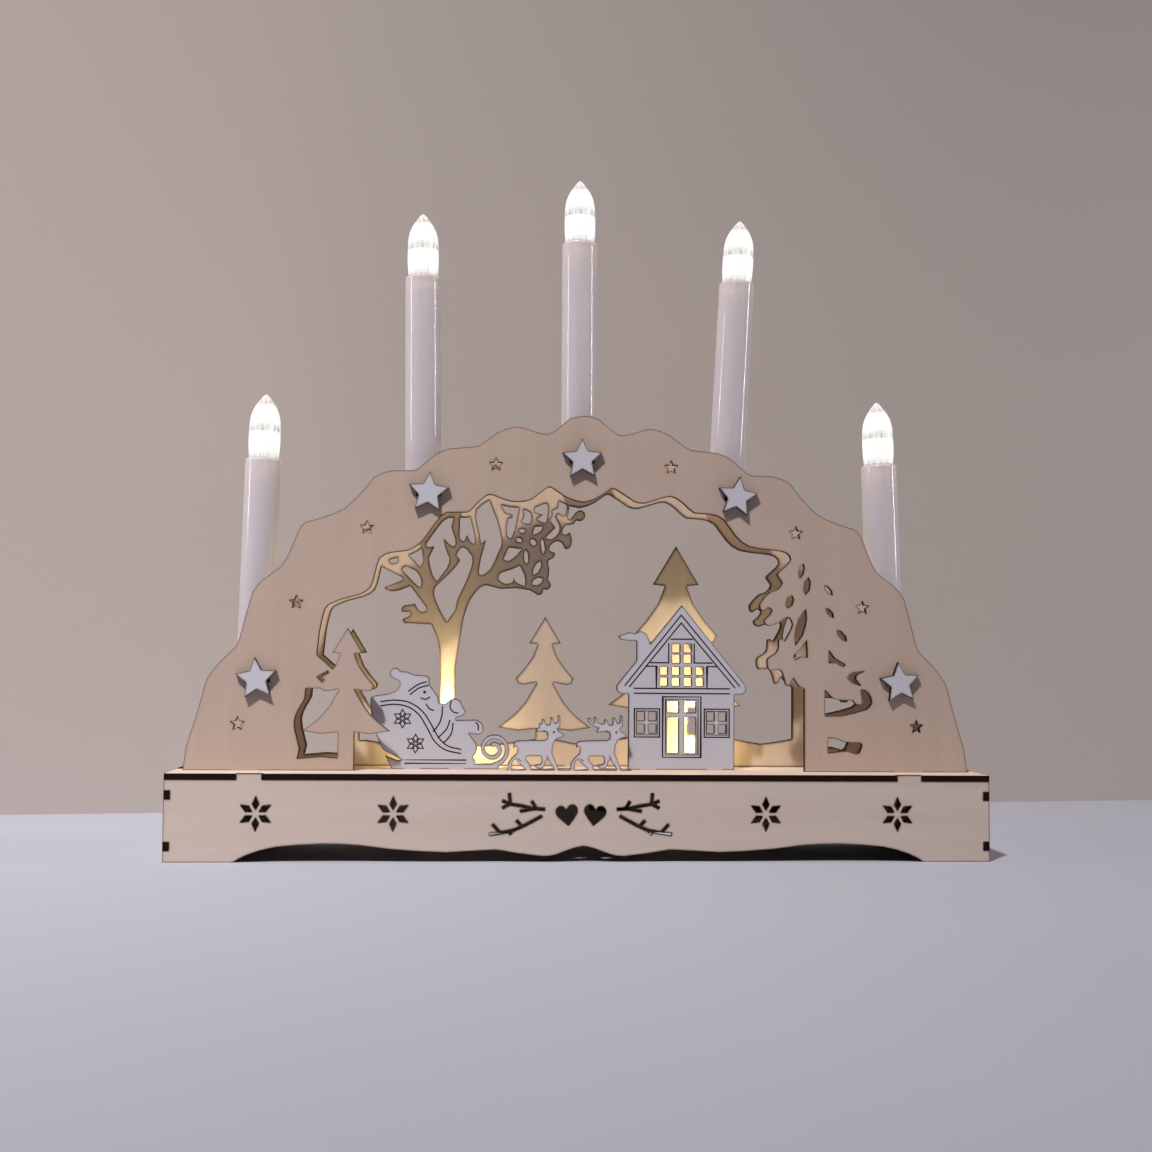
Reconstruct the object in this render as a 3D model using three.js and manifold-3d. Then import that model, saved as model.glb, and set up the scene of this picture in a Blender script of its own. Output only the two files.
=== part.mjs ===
// A plywood candle arch with five battery-lit candles. A shallow box foot carries two cut arches
// side by side, a white winter scene stands behind the front arch, and slim candles with fluted
// flame bulbs stand on small shelves that bridge the two arches.
// Millimetres, +Z up. The front faces -Y, and the origin is on the table under the middle.

import * as THREE from 'three';
import { mergeVertices } from 'three/addons/utils/BufferGeometryUtils.js';
import Module from 'manifold-3d';

const wasm = await Module();
wasm.setup();

// Plywood and its joints
const ply = 3;
const slotPlay = 0.1;

// How far a curved edge may stand off its facets
const chordBow = 0.22;

// Box foot
const baseWidth = 400;
const baseDepth = 68;
const baseHeight = 42;
const panelTabWidth = 12;
const panelTabInset = 40;
const sideTabWidth = 14;
const fingerHeight = 4;
const lowFinger = 5.5;
const highFinger = 29.8;

// Arches
const archInset = 5;
const archRise = 177.5;
const archTabWidth = 14;
const archTabInset = 30;
const candleRoom = 4;

// Candles, from the left one to the right one
const candleDiameter = 18;
const candleWall = 1.2;
const candleLength = 109;
const candleTopWall = 1.6;
const shoulderRound = 1.5;
const candleLean = [1.3, -0.8, -0.2, 2.9, -2];
const candleShift = [-3.6, -3.4, -0.6, -3.1, -1.8];
// How far each tube stands off its shelf, held by the peg that it was pushed on to
const candleStandOff = [0, 2, 3.8, 2.6, 1.8];
const candleClearance = 0.05;
const turnedClearance = 0.25;

// Candle shelves and the pegs that the tubes push on to
const shelfWidth = 26;
const shelfTabWidth = 12;
const pegHeight = 9;
const spigotRadius = 3.5;
const spigotPlay = 0.4;

// Flame bulbs and their lights
const flameHeight = 32.6;
const flameRadius = 7.9;
const flameFootRadius = 7.35;
const flameWall = 1.6;
const neckRadius = 5.9;
const neckDepth = 5;
const fluteCount = 8;
const fluteDepth = 0.35;
const ledRadius = 2.5;
const ledHeight = 8.6;
const ledFlange = 0.4;
const ledDiscHeight = 2.6;

// Stars
const starRadius = 10.5;
const starWaist = 0.48;
const starTurn = [5, -4, 1, -8, 5];
const piercedStarRadius = 3.6;

// Winter scene behind the front arch: the reindeer stand in front of the sleigh and the house
const reindeerGap = 1;
const sceneGap = 7;
const sleighX = -70;
const rearReindeerX = -34;
const frontReindeerX = -2.7;
const houseX = 51.2;
const sleighLightX = -66;
const houseLightX = 58;
const sceneLightY = 3;

// Leads
const leadRadius = 0.8;
const leadGap = 0.3;
const leadHoleRadius = 4;
const leadRowGap = 0.6;
const leadStep = 9.4;

// Battery box under the lid, with three AA cells side by side
const cellRadius = 7.1;
const cellLength = 49.2;
const cellNubRadius = 2.7;
const cellNub = 1.1;
const cellGap = 0.7;
const contactRoom = 2.4;
const contactPlate = 0.5;
const boxWall = 1.5;
const coverThickness = 1.6;
const coverPlay = 0.15;
const coverGrip = 1;
const coverLip = 1.4;
const boxFromLeadHole = 17;
const terminalFromBox = 5;
const batteryBoxGap = 0.6;
const gripRibs = 4;

// Slide switch in the back panel
const switchX = 18;
const switchTravel = 4;
const knobWidth = 3.4;
const knobHeight = 3.6;
const knobRecess = 0.3;
const knobPlay = 0.2;
const switchBodyWidth = 13;
const switchBodyHeight = 7;
const switchBodyDepth = 6;
const switchFlange = 0.8;
const switchEar = 4;

// Terminal block
const terminalWidth = 14;
const terminalDepth = 8;
const terminalHeight = 10;

// Places worked out from the sizes above
const lidUnder = baseHeight - ply;
const baseBack = baseDepth / 2;
const archWidth = baseWidth - 2 * archInset;
const archGap = candleDiameter + 2 * candleRoom;
const frontArchY = -archGap / 2 - ply;
const backArchY = archGap / 2;
const reindeerY = frontArchY + ply + reindeerGap;
const sceneY = frontArchY + ply + sceneGap;
const archTabX = archWidth / 2 - archTabInset;
const panelTabX = baseWidth / 2 - panelTabInset;
const candleRadius = candleDiameter / 2;
const boreRadius = candleRadius - candleWall;

const switchHeight = baseHeight / 2;

// The arches are drawn 390 wide and 177.5 high above the lid, and stretched to their real size.
const across = archWidth / 390;
const upward = archRise / 177.5;
const lightSpots = [sleighLightX * across, houseLightX * across];
const candleSpots = [[-160, 44.8], [-77.3, 137.6], [-1, 155.4], [77.3, 137.6], [160, 44.8]];

// Solids

function closed(geometry) {
  const bare = geometry.clone();
  bare.deleteAttribute('normal');
  bare.deleteAttribute('uv');
  const merged = mergeVertices(bare, 1e-5);
  const corners = merged.index.array;
  const place = merged.attributes.position;
  const triangles = [];
  let volume = 0;
  const [a, b, c] = [new THREE.Vector3(), new THREE.Vector3(), new THREE.Vector3()];
  for (let i = 0; i < corners.length; i += 3) {
    const [p, q, r] = [corners[i], corners[i + 1], corners[i + 2]];
    if (p === q || q === r || r === p) continue;
    triangles.push([p, q, r]);
    a.fromBufferAttribute(place, p);
    b.fromBufferAttribute(place, q);
    c.fromBufferAttribute(place, r);
    volume += a.dot(b.cross(c));
  }
  const order = volume < 0 ? ([p, q, r]) => [p, r, q] : (triangle) => triangle;
  merged.setIndex(triangles.flatMap(order));
  return merged;
}

function solid(geometry) {
  const tidy = closed(geometry);
  return new wasm.Manifold(new wasm.Mesh({
    numProp: 3,
    vertProperties: new Float32Array(tidy.attributes.position.array),
    triVerts: new Uint32Array(tidy.index.array),
  }));
}

function geometryOf(body) {
  const { vertProperties, triVerts } = body.getMesh();
  const geometry = new THREE.BufferGeometry();
  geometry.setAttribute('position', new THREE.BufferAttribute(vertProperties, 3));
  geometry.setIndex(new THREE.BufferAttribute(triVerts, 1));
  return geometry;
}

const join = (first, ...others) => others.reduce((whole, one) => whole.add(one), first);
const cut = (first, ...others) => others.reduce((whole, one) => whole.subtract(one), first);

function block([x0, x1], [y0, y1], [z0, z1]) {
  const box = new THREE.BoxGeometry(x1 - x0, y1 - y0, z1 - z0);
  return solid(box.translate((x0 + x1) / 2, (y0 + y1) / 2, (z0 + z1) / 2));
}

const span = (middle, size) => [middle - size / 2, middle + size / 2];

// A body of revolution about Z from points of radius and height.
function turned(profile, segments) {
  const points = profile.map(([radius, height]) => new THREE.Vector2(radius, height));
  return new THREE.LatheGeometry(points, segments).rotateX(Math.PI / 2);
}

function rod(radius, [z0, z1], x, y, segments = 12) {
  return solid(turned([[0, z0], [radius, z0], [radius, z1], [0, z1]], segments).translate(x, y, 0));
}

// Outlines

// Points along a smooth curve, with more of them where it stands off its chords.
function smooth(points) {
  const curve = new THREE.SplineCurve(points.map(([x, y]) => new THREE.Vector2(x, y)));
  const walk = (from, to) => {
    const [a, b] = [curve.getPoint(from), curve.getPoint(to)];
    const middle = curve.getPoint((from + to) / 2);
    const chord = b.clone().sub(a);
    const bow = Math.abs(chord.cross(middle.clone().sub(a))) / Math.max(chord.length(), 0.01);
    if (bow < chordBow) return [b];
    return [...walk(from, (from + to) / 2), ...walk((from + to) / 2, to)];
  };
  const spans = points.length - 1;
  return points.slice(1).flatMap((_, i) => walk(i / spans, (i + 1) / spans));
}

// A closed outline. Each run starts where the last one ended: a run of one point is a straight
// edge, and a longer run is a smooth curve through its points.
function outline(start, ...runs) {
  const shape = new THREE.Shape();
  let last = start;
  shape.moveTo(...start);
  for (const run of runs) {
    if (run.length === 1) shape.lineTo(...run[0]);
    else smooth([last, ...run]).forEach(({ x, y }) => shape.lineTo(x, y));
    last = run.at(-1);
  }
  return shape;
}

// An outline that is the same on both sides of x = 0, drawn from its foot up the right side.
function symmetric(start, ...runs) {
  const back = runs.map((run, i) => {
    const from = i ? runs[i - 1].at(-1) : start;
    return [...run.slice(0, -1).reverse(), from].map(([x, y]) => [-x, y]);
  });
  return outline(start, ...runs, ...back.reverse());
}

const edges = (points) => points.map((point) => [point]);

function rectangle([x0, x1], [z0, z1]) {
  return outline([x0, z0], [[x1, z0]], [[x1, z1]], [[x0, z1]]);
}

// An upright plate from an outline of x and height, with its front face on y = 0.
function plate(shape, thickness = ply) {
  const geometry = new THREE.ExtrudeGeometry(shape, { depth: thickness, bevelEnabled: false });
  return solid(geometry.rotateX(Math.PI / 2).translate(0, thickness, 0));
}

// A cutter reaches past both faces of a plate.
const cutter = (shape) => plate(shape, ply + 2).translate([0, -1, 0]);

// Moves an upright piece to its place, leaning to the right by an angle in degrees.
function placed(piece, x, height, lean = 0) {
  const geometry = geometryOf(piece).rotateY(THREE.MathUtils.degToRad(lean));
  return solid(geometry.translate(x, 0, height));
}

function polygonStar(radius, waist, turn = 0) {
  const corners = [];
  for (let i = 0; i < 10; i++) {
    const angle = Math.PI / 2 + THREE.MathUtils.degToRad(turn) + i * Math.PI / 5;
    const reach = i % 2 ? radius * waist : radius;
    corners.push([reach * Math.cos(angle), reach * Math.sin(angle)]);
  }
  return outline(corners[0], ...edges(corners.slice(1)));
}

// A pointed leaf-shaped opening of a given length and width, leaning by an angle in degrees.
function leaf(x, height, length, width, lean) {
  const [half, side] = [length / 2, width / 2];
  const shape = outline(
    [0, -half],
    [[side * 0.9, -half * 0.4], [side * 0.8, half * 0.5], [0, half]],
    [[-side * 0.9, half * 0.4], [-side * 0.8, -half * 0.5], [0, -half]],
  );
  return placed(cutter(shape), x, height, lean);
}

// Square-ended grooves through a plate, each along a path with mitred bends.
function grooves(paths, width) {
  return join(...paths.map((path) => {
    const points = path.map(([x, y]) => new THREE.Vector2(x, y));
    const sides = points.map((point, i) => {
      const before = points[Math.max(i - 1, 0)];
      const after = points[Math.min(i + 1, points.length - 1)];
      const across = after.clone().sub(before).normalize().multiplyScalar(width / 2);
      return [[point.x - across.y, point.y + across.x], [point.x + across.y, point.y - across.x]];
    });
    const rim = [...sides.map(([left]) => left), ...sides.map(([, right]) => right).reverse()];
    return cutter(outline(rim[0], ...edges(rim.slice(1))));
  }));
}

// Arches

// The right half of the stepped, wavy outside edge, from the lid up to the crown.
const outsideEdge = [
  [193.5, 12], [189.5, 25], [186.5, 36], [184, 45], [177.5, 53.5], [170.5, 60.5], [168, 68],
  [165.5, 78], [163, 87], [158, 93.5], [149.5, 100], [145, 108], [141.5, 117], [138, 122],
  [129, 124.8], [118.5, 129.5], [110, 138], [104.5, 145], [96, 148.4], [84.5, 148.8], [76, 155.5],
  [68, 159.8], [54, 161.2], [44, 168], [34.5, 171.5], [25.5, 169.4], [18.2, 168], [12.6, 171.6],
  [7.3, 176], [3.4, 177.2], [0, 177.5],
];

// The window's edge: up the leafy tree on the right, over the wavy top, and down to the spruce.
function windowOutline() {
  return outline(
    [112, -1],
    [[112, 41.5]],
    [[109.5, 42.5], [106.2, 47], [104.5, 43.6], [102.6, 43.4], [101.3, 48], [99.5, 51], [94.4, 50.6],
      [93, 54], [93.6, 57], [97, 59], [98.7, 62], [98.8, 66], [100.4, 66.6], [102, 65.4]],
    [[104.5, 70], [106, 74], [104, 77.4], [101.6, 76.6], [98.6, 74.4], [94.6, 73], [92.3, 73.8],
      [91.5, 76], [94.4, 78.6], [95.4, 81], [93.4, 82.2], [91, 80.4], [89.5, 81.6], [89.3, 84.2],
      [91.4, 87.2], [94.4, 90], [98, 91.2], [100.7, 94.8], [98, 98.8], [101, 102], [105, 106.4],
      [102.6, 110], [96, 111.2], [84, 112.8], [77, 118], [71, 126], [65, 128.8], [56, 129.4],
      [50, 134.4], [44.5, 137.6], [38, 136.2], [31, 134], [25.5, 134.8], [19.3, 138.8], [14, 141.2],
      [8, 137], [0, 134], [-9, 136.6], [-16, 141.2], [-19, 140.6], [-25.5, 135.4], [-32.5, 133.8],
      [-39.5, 134.7], [-47, 137.2], [-53, 132.9], [-58, 128.2], [-68, 128], [-73, 123.6],
      [-80, 113.6], [-87, 108.8], [-95.5, 107.6], [-101, 104.8], [-103.2, 97.5], [-105.5, 90],
      [-111.5, 86.4], [-119.5, 84.2], [-124, 82.3], [-127.5, 79.3], [-130, 68], [-131.1, 56.7]],
    [[-123.3, 49.8]],
    [[-116, 45]],
    [[-116, -1]],
  );
}

// A three-tiered spruce with drooping boughs. The drawing is 70 high, and is placed by scale.
function spruce(x, foot, scale) {
  const shape = symmetric(
    [4, 0],
    [[4, 18.8]],
    [[12, 17.9], [21.3, 19.4]],
    [[14.8, 24.4], [8.6, 31.2], [3.6, 40]],
    [[9.2, 38.9], [12.4, 39.6], [13.2, 41.8]],
    [[9.4, 46.2], [5.6, 51.6], [3.4, 57.4]],
    [[7.3, 57.8]],
    [[0, 70]],
  );
  return solid(geometryOf(plate(shape)).scale(scale, 1, scale).translate(x, 0, foot));
}

// Both arches share the outside edge, the window, the left spruce and the leafy right tree.
function archBlank() {
  const chevron = outline([-125.4, 49], [[-130.9, 45.9]], [[-127.6, 42.6]], [[-126.6, 43.8]],
    [[-128.6, 45.9]], [[-125, 47.8]]);
  const leftGap = outline([-136.2, 40.2], [[-136.6, 35], [-139.5, 30], [-141.6, 24], [-140.5, 17],
    [-138.8, 10.5], [-139.8, 5.8]], [[-128.6, 6.8], [-116, 5.8]], [[-116, 40.2]]);
  const shoulderLeaves = [
    leaf(110.4, 100.8, 7.4, 2.8, 14), leaf(113.2, 93.2, 8.8, 3.6, 10), leaf(104.4, 85.2, 6.8, 4, 22),
    leaf(110, 72.5, 19, 4.6, 16), leaf(124.2, 91.2, 6.4, 2.4, -40), leaf(124.9, 79.8, 6.2, 2.4, -40),
    leaf(131, 68.4, 7.6, 3, -42),
  ];
  const boughGaps = [
    outline([113.1, 66], [[113.5, 57.2]], [[110.4, 57.8], [107.2, 56], [106.8, 58.6], [110.2, 61.6],
      [113.1, 66]]),
    outline([124.4, 61], [[124.4, 54.6]], [[128, 54.8], [131, 53], [132.6, 54], [127.6, 56.8],
      [124.4, 61]]),
    outline([142.8, 50.6], [[137, 50], [133.8, 47.4], [136.6, 44.6], [140.8, 43.2]],
      [[138.2, 46.6], [139, 49], [142.8, 50.6]]),
    outline([122.4, 41], [[126, 37.2], [130, 36], [136.5, 35.8], [138.4, 33.8], [141.6, 34.6],
      [140.6, 41], [144.4, 40], [146.4, 35], [143.6, 31.4], [137.6, 29.6], [130.5, 28],
      [122.4, 28]]),
    outline([123.9, 17.2], [[128.4, 16.6], [132, 15], [140.6, 14.6], [140.4, 10.6], [138.4, 9],
      [133.4, 10.6], [123.9, 9.4]]),
  ];
  const body = plate(symmetric([195, 0], outsideEdge));
  const stars = [[169, 22.7], [141.5, 82.5], [107.5, 119.8], [44, 152.2]];
  const pierced = stars.flatMap(([x, height]) => [-x, x].map((side) => (
    placed(cutter(polygonStar(piercedStarRadius, 0.42)), side, height)
  )));
  const open = cut(body, cutter(windowOutline()), cutter(leftGap), cutter(chevron));
  const carved = cut(open, ...shoulderLeaves, ...boughGaps.map((gap) => cutter(gap)), ...pierced);
  return join(carved, spruce(-116.2, 0, 1));
}

// The bare tree of the back arch: forked trunk, stubby twigs and a leafy crown full of openings.
function bigTree() {
  const crown = outline(
    [-71.4, 4],
    [[-71.4, 31], [-71.8, 59.5], [-76.3, 72.6]],
    [[-90.2, 73.2]],
    [[-91, 75.2], [-87.6, 76.8], [-87.4, 79], [-91.4, 79], [-90.6, 82.2], [-84.7, 83.2]],
    [[-83.2, 80.2], [-80.2, 79], [-79, 81.4], [-82.1, 85.4], [-87.4, 92.4]],
    [[-92.5, 90.2], [-97.6, 89.6], [-100.3, 91.6], [-92.5, 94.8], [-91.4, 96.6], [-95.1, 98.6],
      [-101.3, 101.6]],
    [[-106, 108]],
    [[-92, 114]],
    [[-60, 140]],
    [[-4.4, 142]],
    [[-6.2, 129]],
    [[-5, 127.8], [-2.4, 131.4], [0.4, 132.8], [2.6, 131.4], [2.6, 128.6], [0.4, 127.2],
      [-1.6, 127.6], [-3, 125.6], [-7.1, 125], [-9.2, 121.2], [-7.4, 119.8], [-5, 121.2]],
    [[-3.9, 117.4], [-4.8, 113.4], [-7.4, 112.6], [-9.1, 115.6], [-11.7, 116.6], [-15, 114.4],
      [-15.6, 111.4], [-12.8, 110.4], [-13.4, 107.8], [-16.3, 106.2], [-15.6, 100.6], [-16.2, 96.4],
      [-14.5, 93.4], [-16.4, 91.2], [-18.6, 91.4]],
    [[-19, 89.2], [-21.4, 88.4], [-25.5, 90.8], [-32.2, 91.8], [-41, 91.4], [-47.8, 93.2],
      [-51.6, 91.6], [-56.4, 85.4], [-59.9, 75], [-61.5, 64.5], [-63.6, 50], [-63.6, 31],
      [-63.6, 4]],
  );
  const boughGaps = [
    outline([-68.4, 74], [[-71.8, 80], [-75, 88], [-73.8, 92.8], [-66.9, 99.4], [-61.8, 106],
      [-63.8, 108.8], [-60.4, 112.8], [-55.8, 108], [-56.1, 102], [-58.8, 94.6], [-63.1, 85.6],
      [-64.1, 80], [-68.4, 74]]),
    outline([-73.6, 95], [[-75.8, 98], [-77.9, 107], [-75.2, 113], [-78.8, 112.4], [-79.6, 115.4]],
      [[-73, 126]], [[-69, 130]], [[-64.6, 130]], [[-66.6, 123], [-64.4, 116.4], [-64.8, 113.2],
        [-67.2, 114], [-70.6, 117.4]], [[-69.6, 112.2], [-67.4, 107], [-68.6, 101.8],
        [-73.6, 95]]),
    outline([-82.4, 102.4], [[-87.8, 108]], [[-90, 112]], [[-82, 114]], [[-80.8, 105.6],
      [-82.4, 102.4]]),
    outline([-98.4, 105.7], [[-93.9, 107.2]], [[-94.2, 104.4]], [[-97.3, 103.8]]),
    outline([-89.6, 102.6], [[-91.6, 100.6], [-86.6, 95.4], [-82.4, 91.8], [-81.8, 95.6],
      [-84.8, 100.4], [-89.6, 102.6]]),
    outline([-62.1, 131], [[-62.3, 118.6], [-59.9, 115.8], [-58.4, 119.2], [-56.8, 115.8],
      [-54.4, 114.2]], [[-54.4, 118.4]], [[-57.6, 131]]),
    outline([-46.7, 136.2], [[-46.7, 140]], [[-52, 140]], [[-53.9, 129], [-51.8, 119.4],
      [-51.2, 114.6]], [[-48.5, 116.8]], [[-51.2, 106.4], [-51.7, 98.6], [-46.4, 101.2],
      [-42.2, 110.4], [-40.4, 115.8], [-43, 127], [-46.7, 136.2]]),
    outline([-42, 137], [[-38.8, 131.2]], [[-35.2, 130], [-35, 128.6], [-37.2, 128]],
      [[-38, 123], [-37.7, 119.2], [-35.6, 117.6], [-33.8, 122]], [[-31, 137]]),
    outline([-29.4, 133], [[-28.6, 129.6], [-30.2, 126.4], [-27.8, 125.4], [-25.6, 126],
      [-25.4, 131], [-29.4, 133]]),
    outline([-23.4, 134], [[-23.4, 131.4]], [[-19.2, 130.2]], [[-22.4, 127.8]],
      [[-18, 125.8], [-16.8, 129.6], [-16.4, 134.4], [-18, 136.2], [-23.4, 134]]),
    outline([-10.9, 137.6], [[-6.6, 135], [-8.2, 129.6]], [[-11.2, 131.4], [-12.8, 129.2],
      [-10.6, 125], [-10.8, 121.2], [-14.4, 117.4], [-17.4, 118.6], [-12.8, 123.2], [-15.4, 127.2],
      [-13.9, 130], [-14.4, 132.4], [-11.2, 134], [-10.9, 137.6]]),
    outline([-23.4, 123.9], [[-19.2, 124.2]], [[-20, 122], [-22, 120.4], [-24.4, 119.6]]),
    outline([-36.6, 113], [[-29.9, 112.2]], [[-33, 108.6], [-37, 105.8], [-39.4, 107]]),
    outline([-30.8, 103.4], [[-28.5, 98.8], [-28.1, 93.4], [-30.8, 93.8], [-33.4, 95.2]],
      [[-33.9, 97.2]], [[-34.6, 94.8], [-38.5, 94], [-42, 96.6], [-40.4, 99.8], [-35.6, 101.4],
      [-30.8, 103.4]]),
  ];
  const leafGaps = [
    [-29.9, 121.7, 3.6, 2.6, 90], [-31.5, 116.8, 3.6, 2.6, 110], [-24.1, 115.7, 4, 3.2, -30],
    [-19.1, 113.8, 8.6, 2.2, -6], [-27.7, 108, 7.6, 2.4, -4], [-21.9, 102.4, 8.4, 3.2, 28],
    [-21.7, 95.4, 6.4, 3.8, 62],
  ];
  const gaps = [...boughGaps.map((gap) => cutter(gap)), ...leafGaps.map((gap) => leaf(...gap))];
  return cut(plate(crown), ...gaps);
}

// Low snowy hills along the foot of the back arch.
const hills = () => plate(outline(
  [-118, 0],
  [[112.4, 0]],
  [[112.4, 14.7]],
  [[96, 12], [82, 14.4], [60, 16.6], [40, 17.4], [26, 15], [10, 12.4], [-1.5, 11.8]],
  [[-10.3, 13.6], [-20, 14.2], [-33.5, 12.2], [-48, 10.6], [-64, 9.6], [-80, 9.2], [-97.4, 10.2],
    [-103, 12.2], [-109, 13.2], [-118, 12.4]],
));

// Tabs through the lid and slots for the candle shelves are cut at their real size.
function finishedArch(drawing, tabs) {
  const stretched = solid(geometryOf(drawing).scale(across, 1, upward));
  const feet = tabs.map((x) => block(span(x, archTabWidth), [0, ply], [-ply, 0.5]));
  const slots = candleSpots.map(([x, height]) => block(
    span(x * across, shelfTabWidth + 2 * slotPlay),
    [-1, ply + 1],
    span(height * upward, ply + 2 * slotPlay),
  ));
  return cut(join(stretched, ...feet), ...slots);
}

const frontArchTabs = [-archTabX, archTabX];
const backArchTabs = [-archTabX, 0, archTabX];

function frontArch() {
  return finishedArch(archBlank(), frontArchTabs);
}

function backArch() {
  const trees = join(spruce(-17.4, -2, 1.13), spruce(50.6, 0, 1.635));
  const belowLid = block([-baseWidth, baseWidth], [-1, ply + 1], [-9, 0]);
  const drawing = join(archBlank(), bigTree(), hills(), cut(trees, belowLid));
  return finishedArch(drawing, backArchTabs);
}

// Winter scene

const sceneTab = (x, width, top = 0.5) => block(span(x, width), [0, ply], [-ply, top]);

// A wide-eaved house with a smoking chimney, and panes open to the light behind it.
const housePanes = [
  { x: 0, height: 54, columns: 2, rows: 2, width: 4, tall: 4.2, pitchX: 5.8, pitchZ: 5.3 },
  { x: 0, height: 42.4, columns: 4, rows: 2, width: 3.8, tall: 4, pitchX: 6.1, pitchZ: 5.5 },
  { x: 0, height: 28.9, columns: 2, rows: 1, width: 5.7, tall: 5.7, pitchX: 8.8, pitchZ: 0 },
  { x: 0, height: 8.4, columns: 2, rows: 1, width: 5.7, tall: 18, pitchX: 8.8, pitchZ: 0 },
  { x: -17.8, height: 18.5, columns: 2, rows: 2, width: 3.9, tall: 4.4, pitchX: 6, pitchZ: 6.2 },
  { x: 17.8, height: 18.5, columns: 2, rows: 2, width: 3.9, tall: 4.4, pitchX: 6, pitchZ: 6.2 },
];
const houseTabs = [-17, 17];
const houseTabWidth = 8;

function house() {
  const walls = symmetric(
    [27, 0],
    [[27, 38.2]],
    [[30.4, 38], [32.7, 39.6], [33, 42], [31.6, 44.2]],
    [[0, 83.2]],
  );
  const chimney = outline(
    [-15, 58],
    [[-23, 50]],
    [[-23, 64.9]],
    [[-27.6, 65], [-31, 65.6], [-32, 67.6], [-29.6, 68.2], [-26.6, 69.4], [-24, 68.6], [-21, 69.9],
      [-18, 68.4], [-16.6, 65.4]],
  );
  const panes = housePanes.flatMap(({ x, height, columns, rows, width, tall, pitchX, pitchZ }) => {
    const grid = [];
    for (let column = 0; column < columns; column++) {
      for (let row = 0; row < rows; row++) {
        const middle = x + (column - (columns - 1) / 2) * pitchX;
        const sill = height + row * pitchZ;
        grid.push(cutter(rectangle(span(middle, width), [sill, sill + tall])));
      }
    }
    return grid;
  });
  const body = join(plate(walls), plate(chimney));
  const tabs = houseTabs.map((x) => sceneTab(x, houseTabWidth));
  return join(cut(body, ...panes), ...tabs);
}

// The sleigh's runner ends in a spiral whose radius falls by the same amount every turn.
function runnerCurl(x, height, radius, pitch, width) {
  const [start, end, steps] = [-Math.PI / 2, 2.65 * Math.PI, 34];
  const rim = (side) => Array.from({ length: steps + 1 }, (_, i) => {
    const angle = start + (end - start) * i / steps;
    const reach = radius - pitch * angle / (2 * Math.PI) + side * width / 2;
    return [x + reach * Math.cos(angle), height + reach * Math.sin(angle)];
  });
  const inner = rim(-1).reverse();
  const outer = rim(1);
  return outline(outer[0], ...edges([...outer.slice(1), ...inner]));
}

// A sleigh with a rider in a bobble cap, drawn round the middle of the sleigh.
const sleighTabs = [-14, 8];
const sleighTabWidth = 8;

function sleigh() {
  const body = outline(
    [-24.3, 0],
    [[17.3, 0]],
    [[17.3, 3.6], [16.3, 6.2], [18.2, 9.6], [17.6, 13], [13.8, 18]],
    [[17.8, 17.3], [20.4, 17.8], [21.3, 20.4], [20.2, 23.2], [17.6, 24.7]],
    [[7.4, 24.4]],
    [[7.6, 25.8], [10.6, 26.6], [12.3, 29], [10.8, 31], [9.8, 33.6], [7.6, 35.1], [4.6, 34.8],
      [1.8, 32.6]],
    [[-1.2, 33]],
    [[-1.6, 36], [-4.4, 40], [-6.2, 42.6], [-6, 45], [-8, 46.6], [-13.6, 47], [-17.6, 48.6],
      [-20.2, 48.6]],
    [[-22.6, 50.6], [-25.6, 49], [-25.4, 46], [-22.8, 44.6]],
    [[-20.6, 42.6], [-22.4, 39.4], [-27, 37.4], [-33.4, 36.4], [-35.4, 34], [-34.2, 24],
      [-31.4, 15], [-28.6, 9.4]],
    [[-19, 4.6]],
    [[-21.6, 4.2], [-27.6, 6.6]],
  );
  const runner = outline([-24.3, 0], [[29, 0]], [[29, 2.7]], [[-24.3, 2.7]]);
  const curl = runnerCurl(26.2, 10.1, 7, 3.7, 2.2);
  const tabs = sleighTabs.map((x) => sceneTab(x, sleighTabWidth));
  return join(plate(body), plate(runner), plate(curl), ...tabs);
}

// A trotting reindeer, drawn from its tail. A bar joins its hooves and fills its half of a slot in
// the lid. The front one carries a second antler that reaches back over its shoulders.
const reindeerBarEnd = -3.2;
const reindeerBarGap = 0.2;
const reindeerBarWidth = frontReindeerX - rearReindeerX - reindeerBarGap;
const reindeerBarRise = 0.3;

function secondAntler() {
  return plate(outline(
    [16, 19.6],
    [[13.9, 20.8]],
    [[10.9, 18.5]],
    [[10.2, 19.5]],
    [[11.6, 21.5], [9, 21.6], [6.8, 23.4], [5.8, 25.9]],
    [[7.2, 26.3]],
    [[8.2, 24.2], [9.3, 23.5], [8.9, 26.5]],
    [[10.2, 26.7]],
    [[10.8, 24.3], [12.4, 23.4], [14.4, 23]],
    [[16, 22]],
  ));
}

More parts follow.
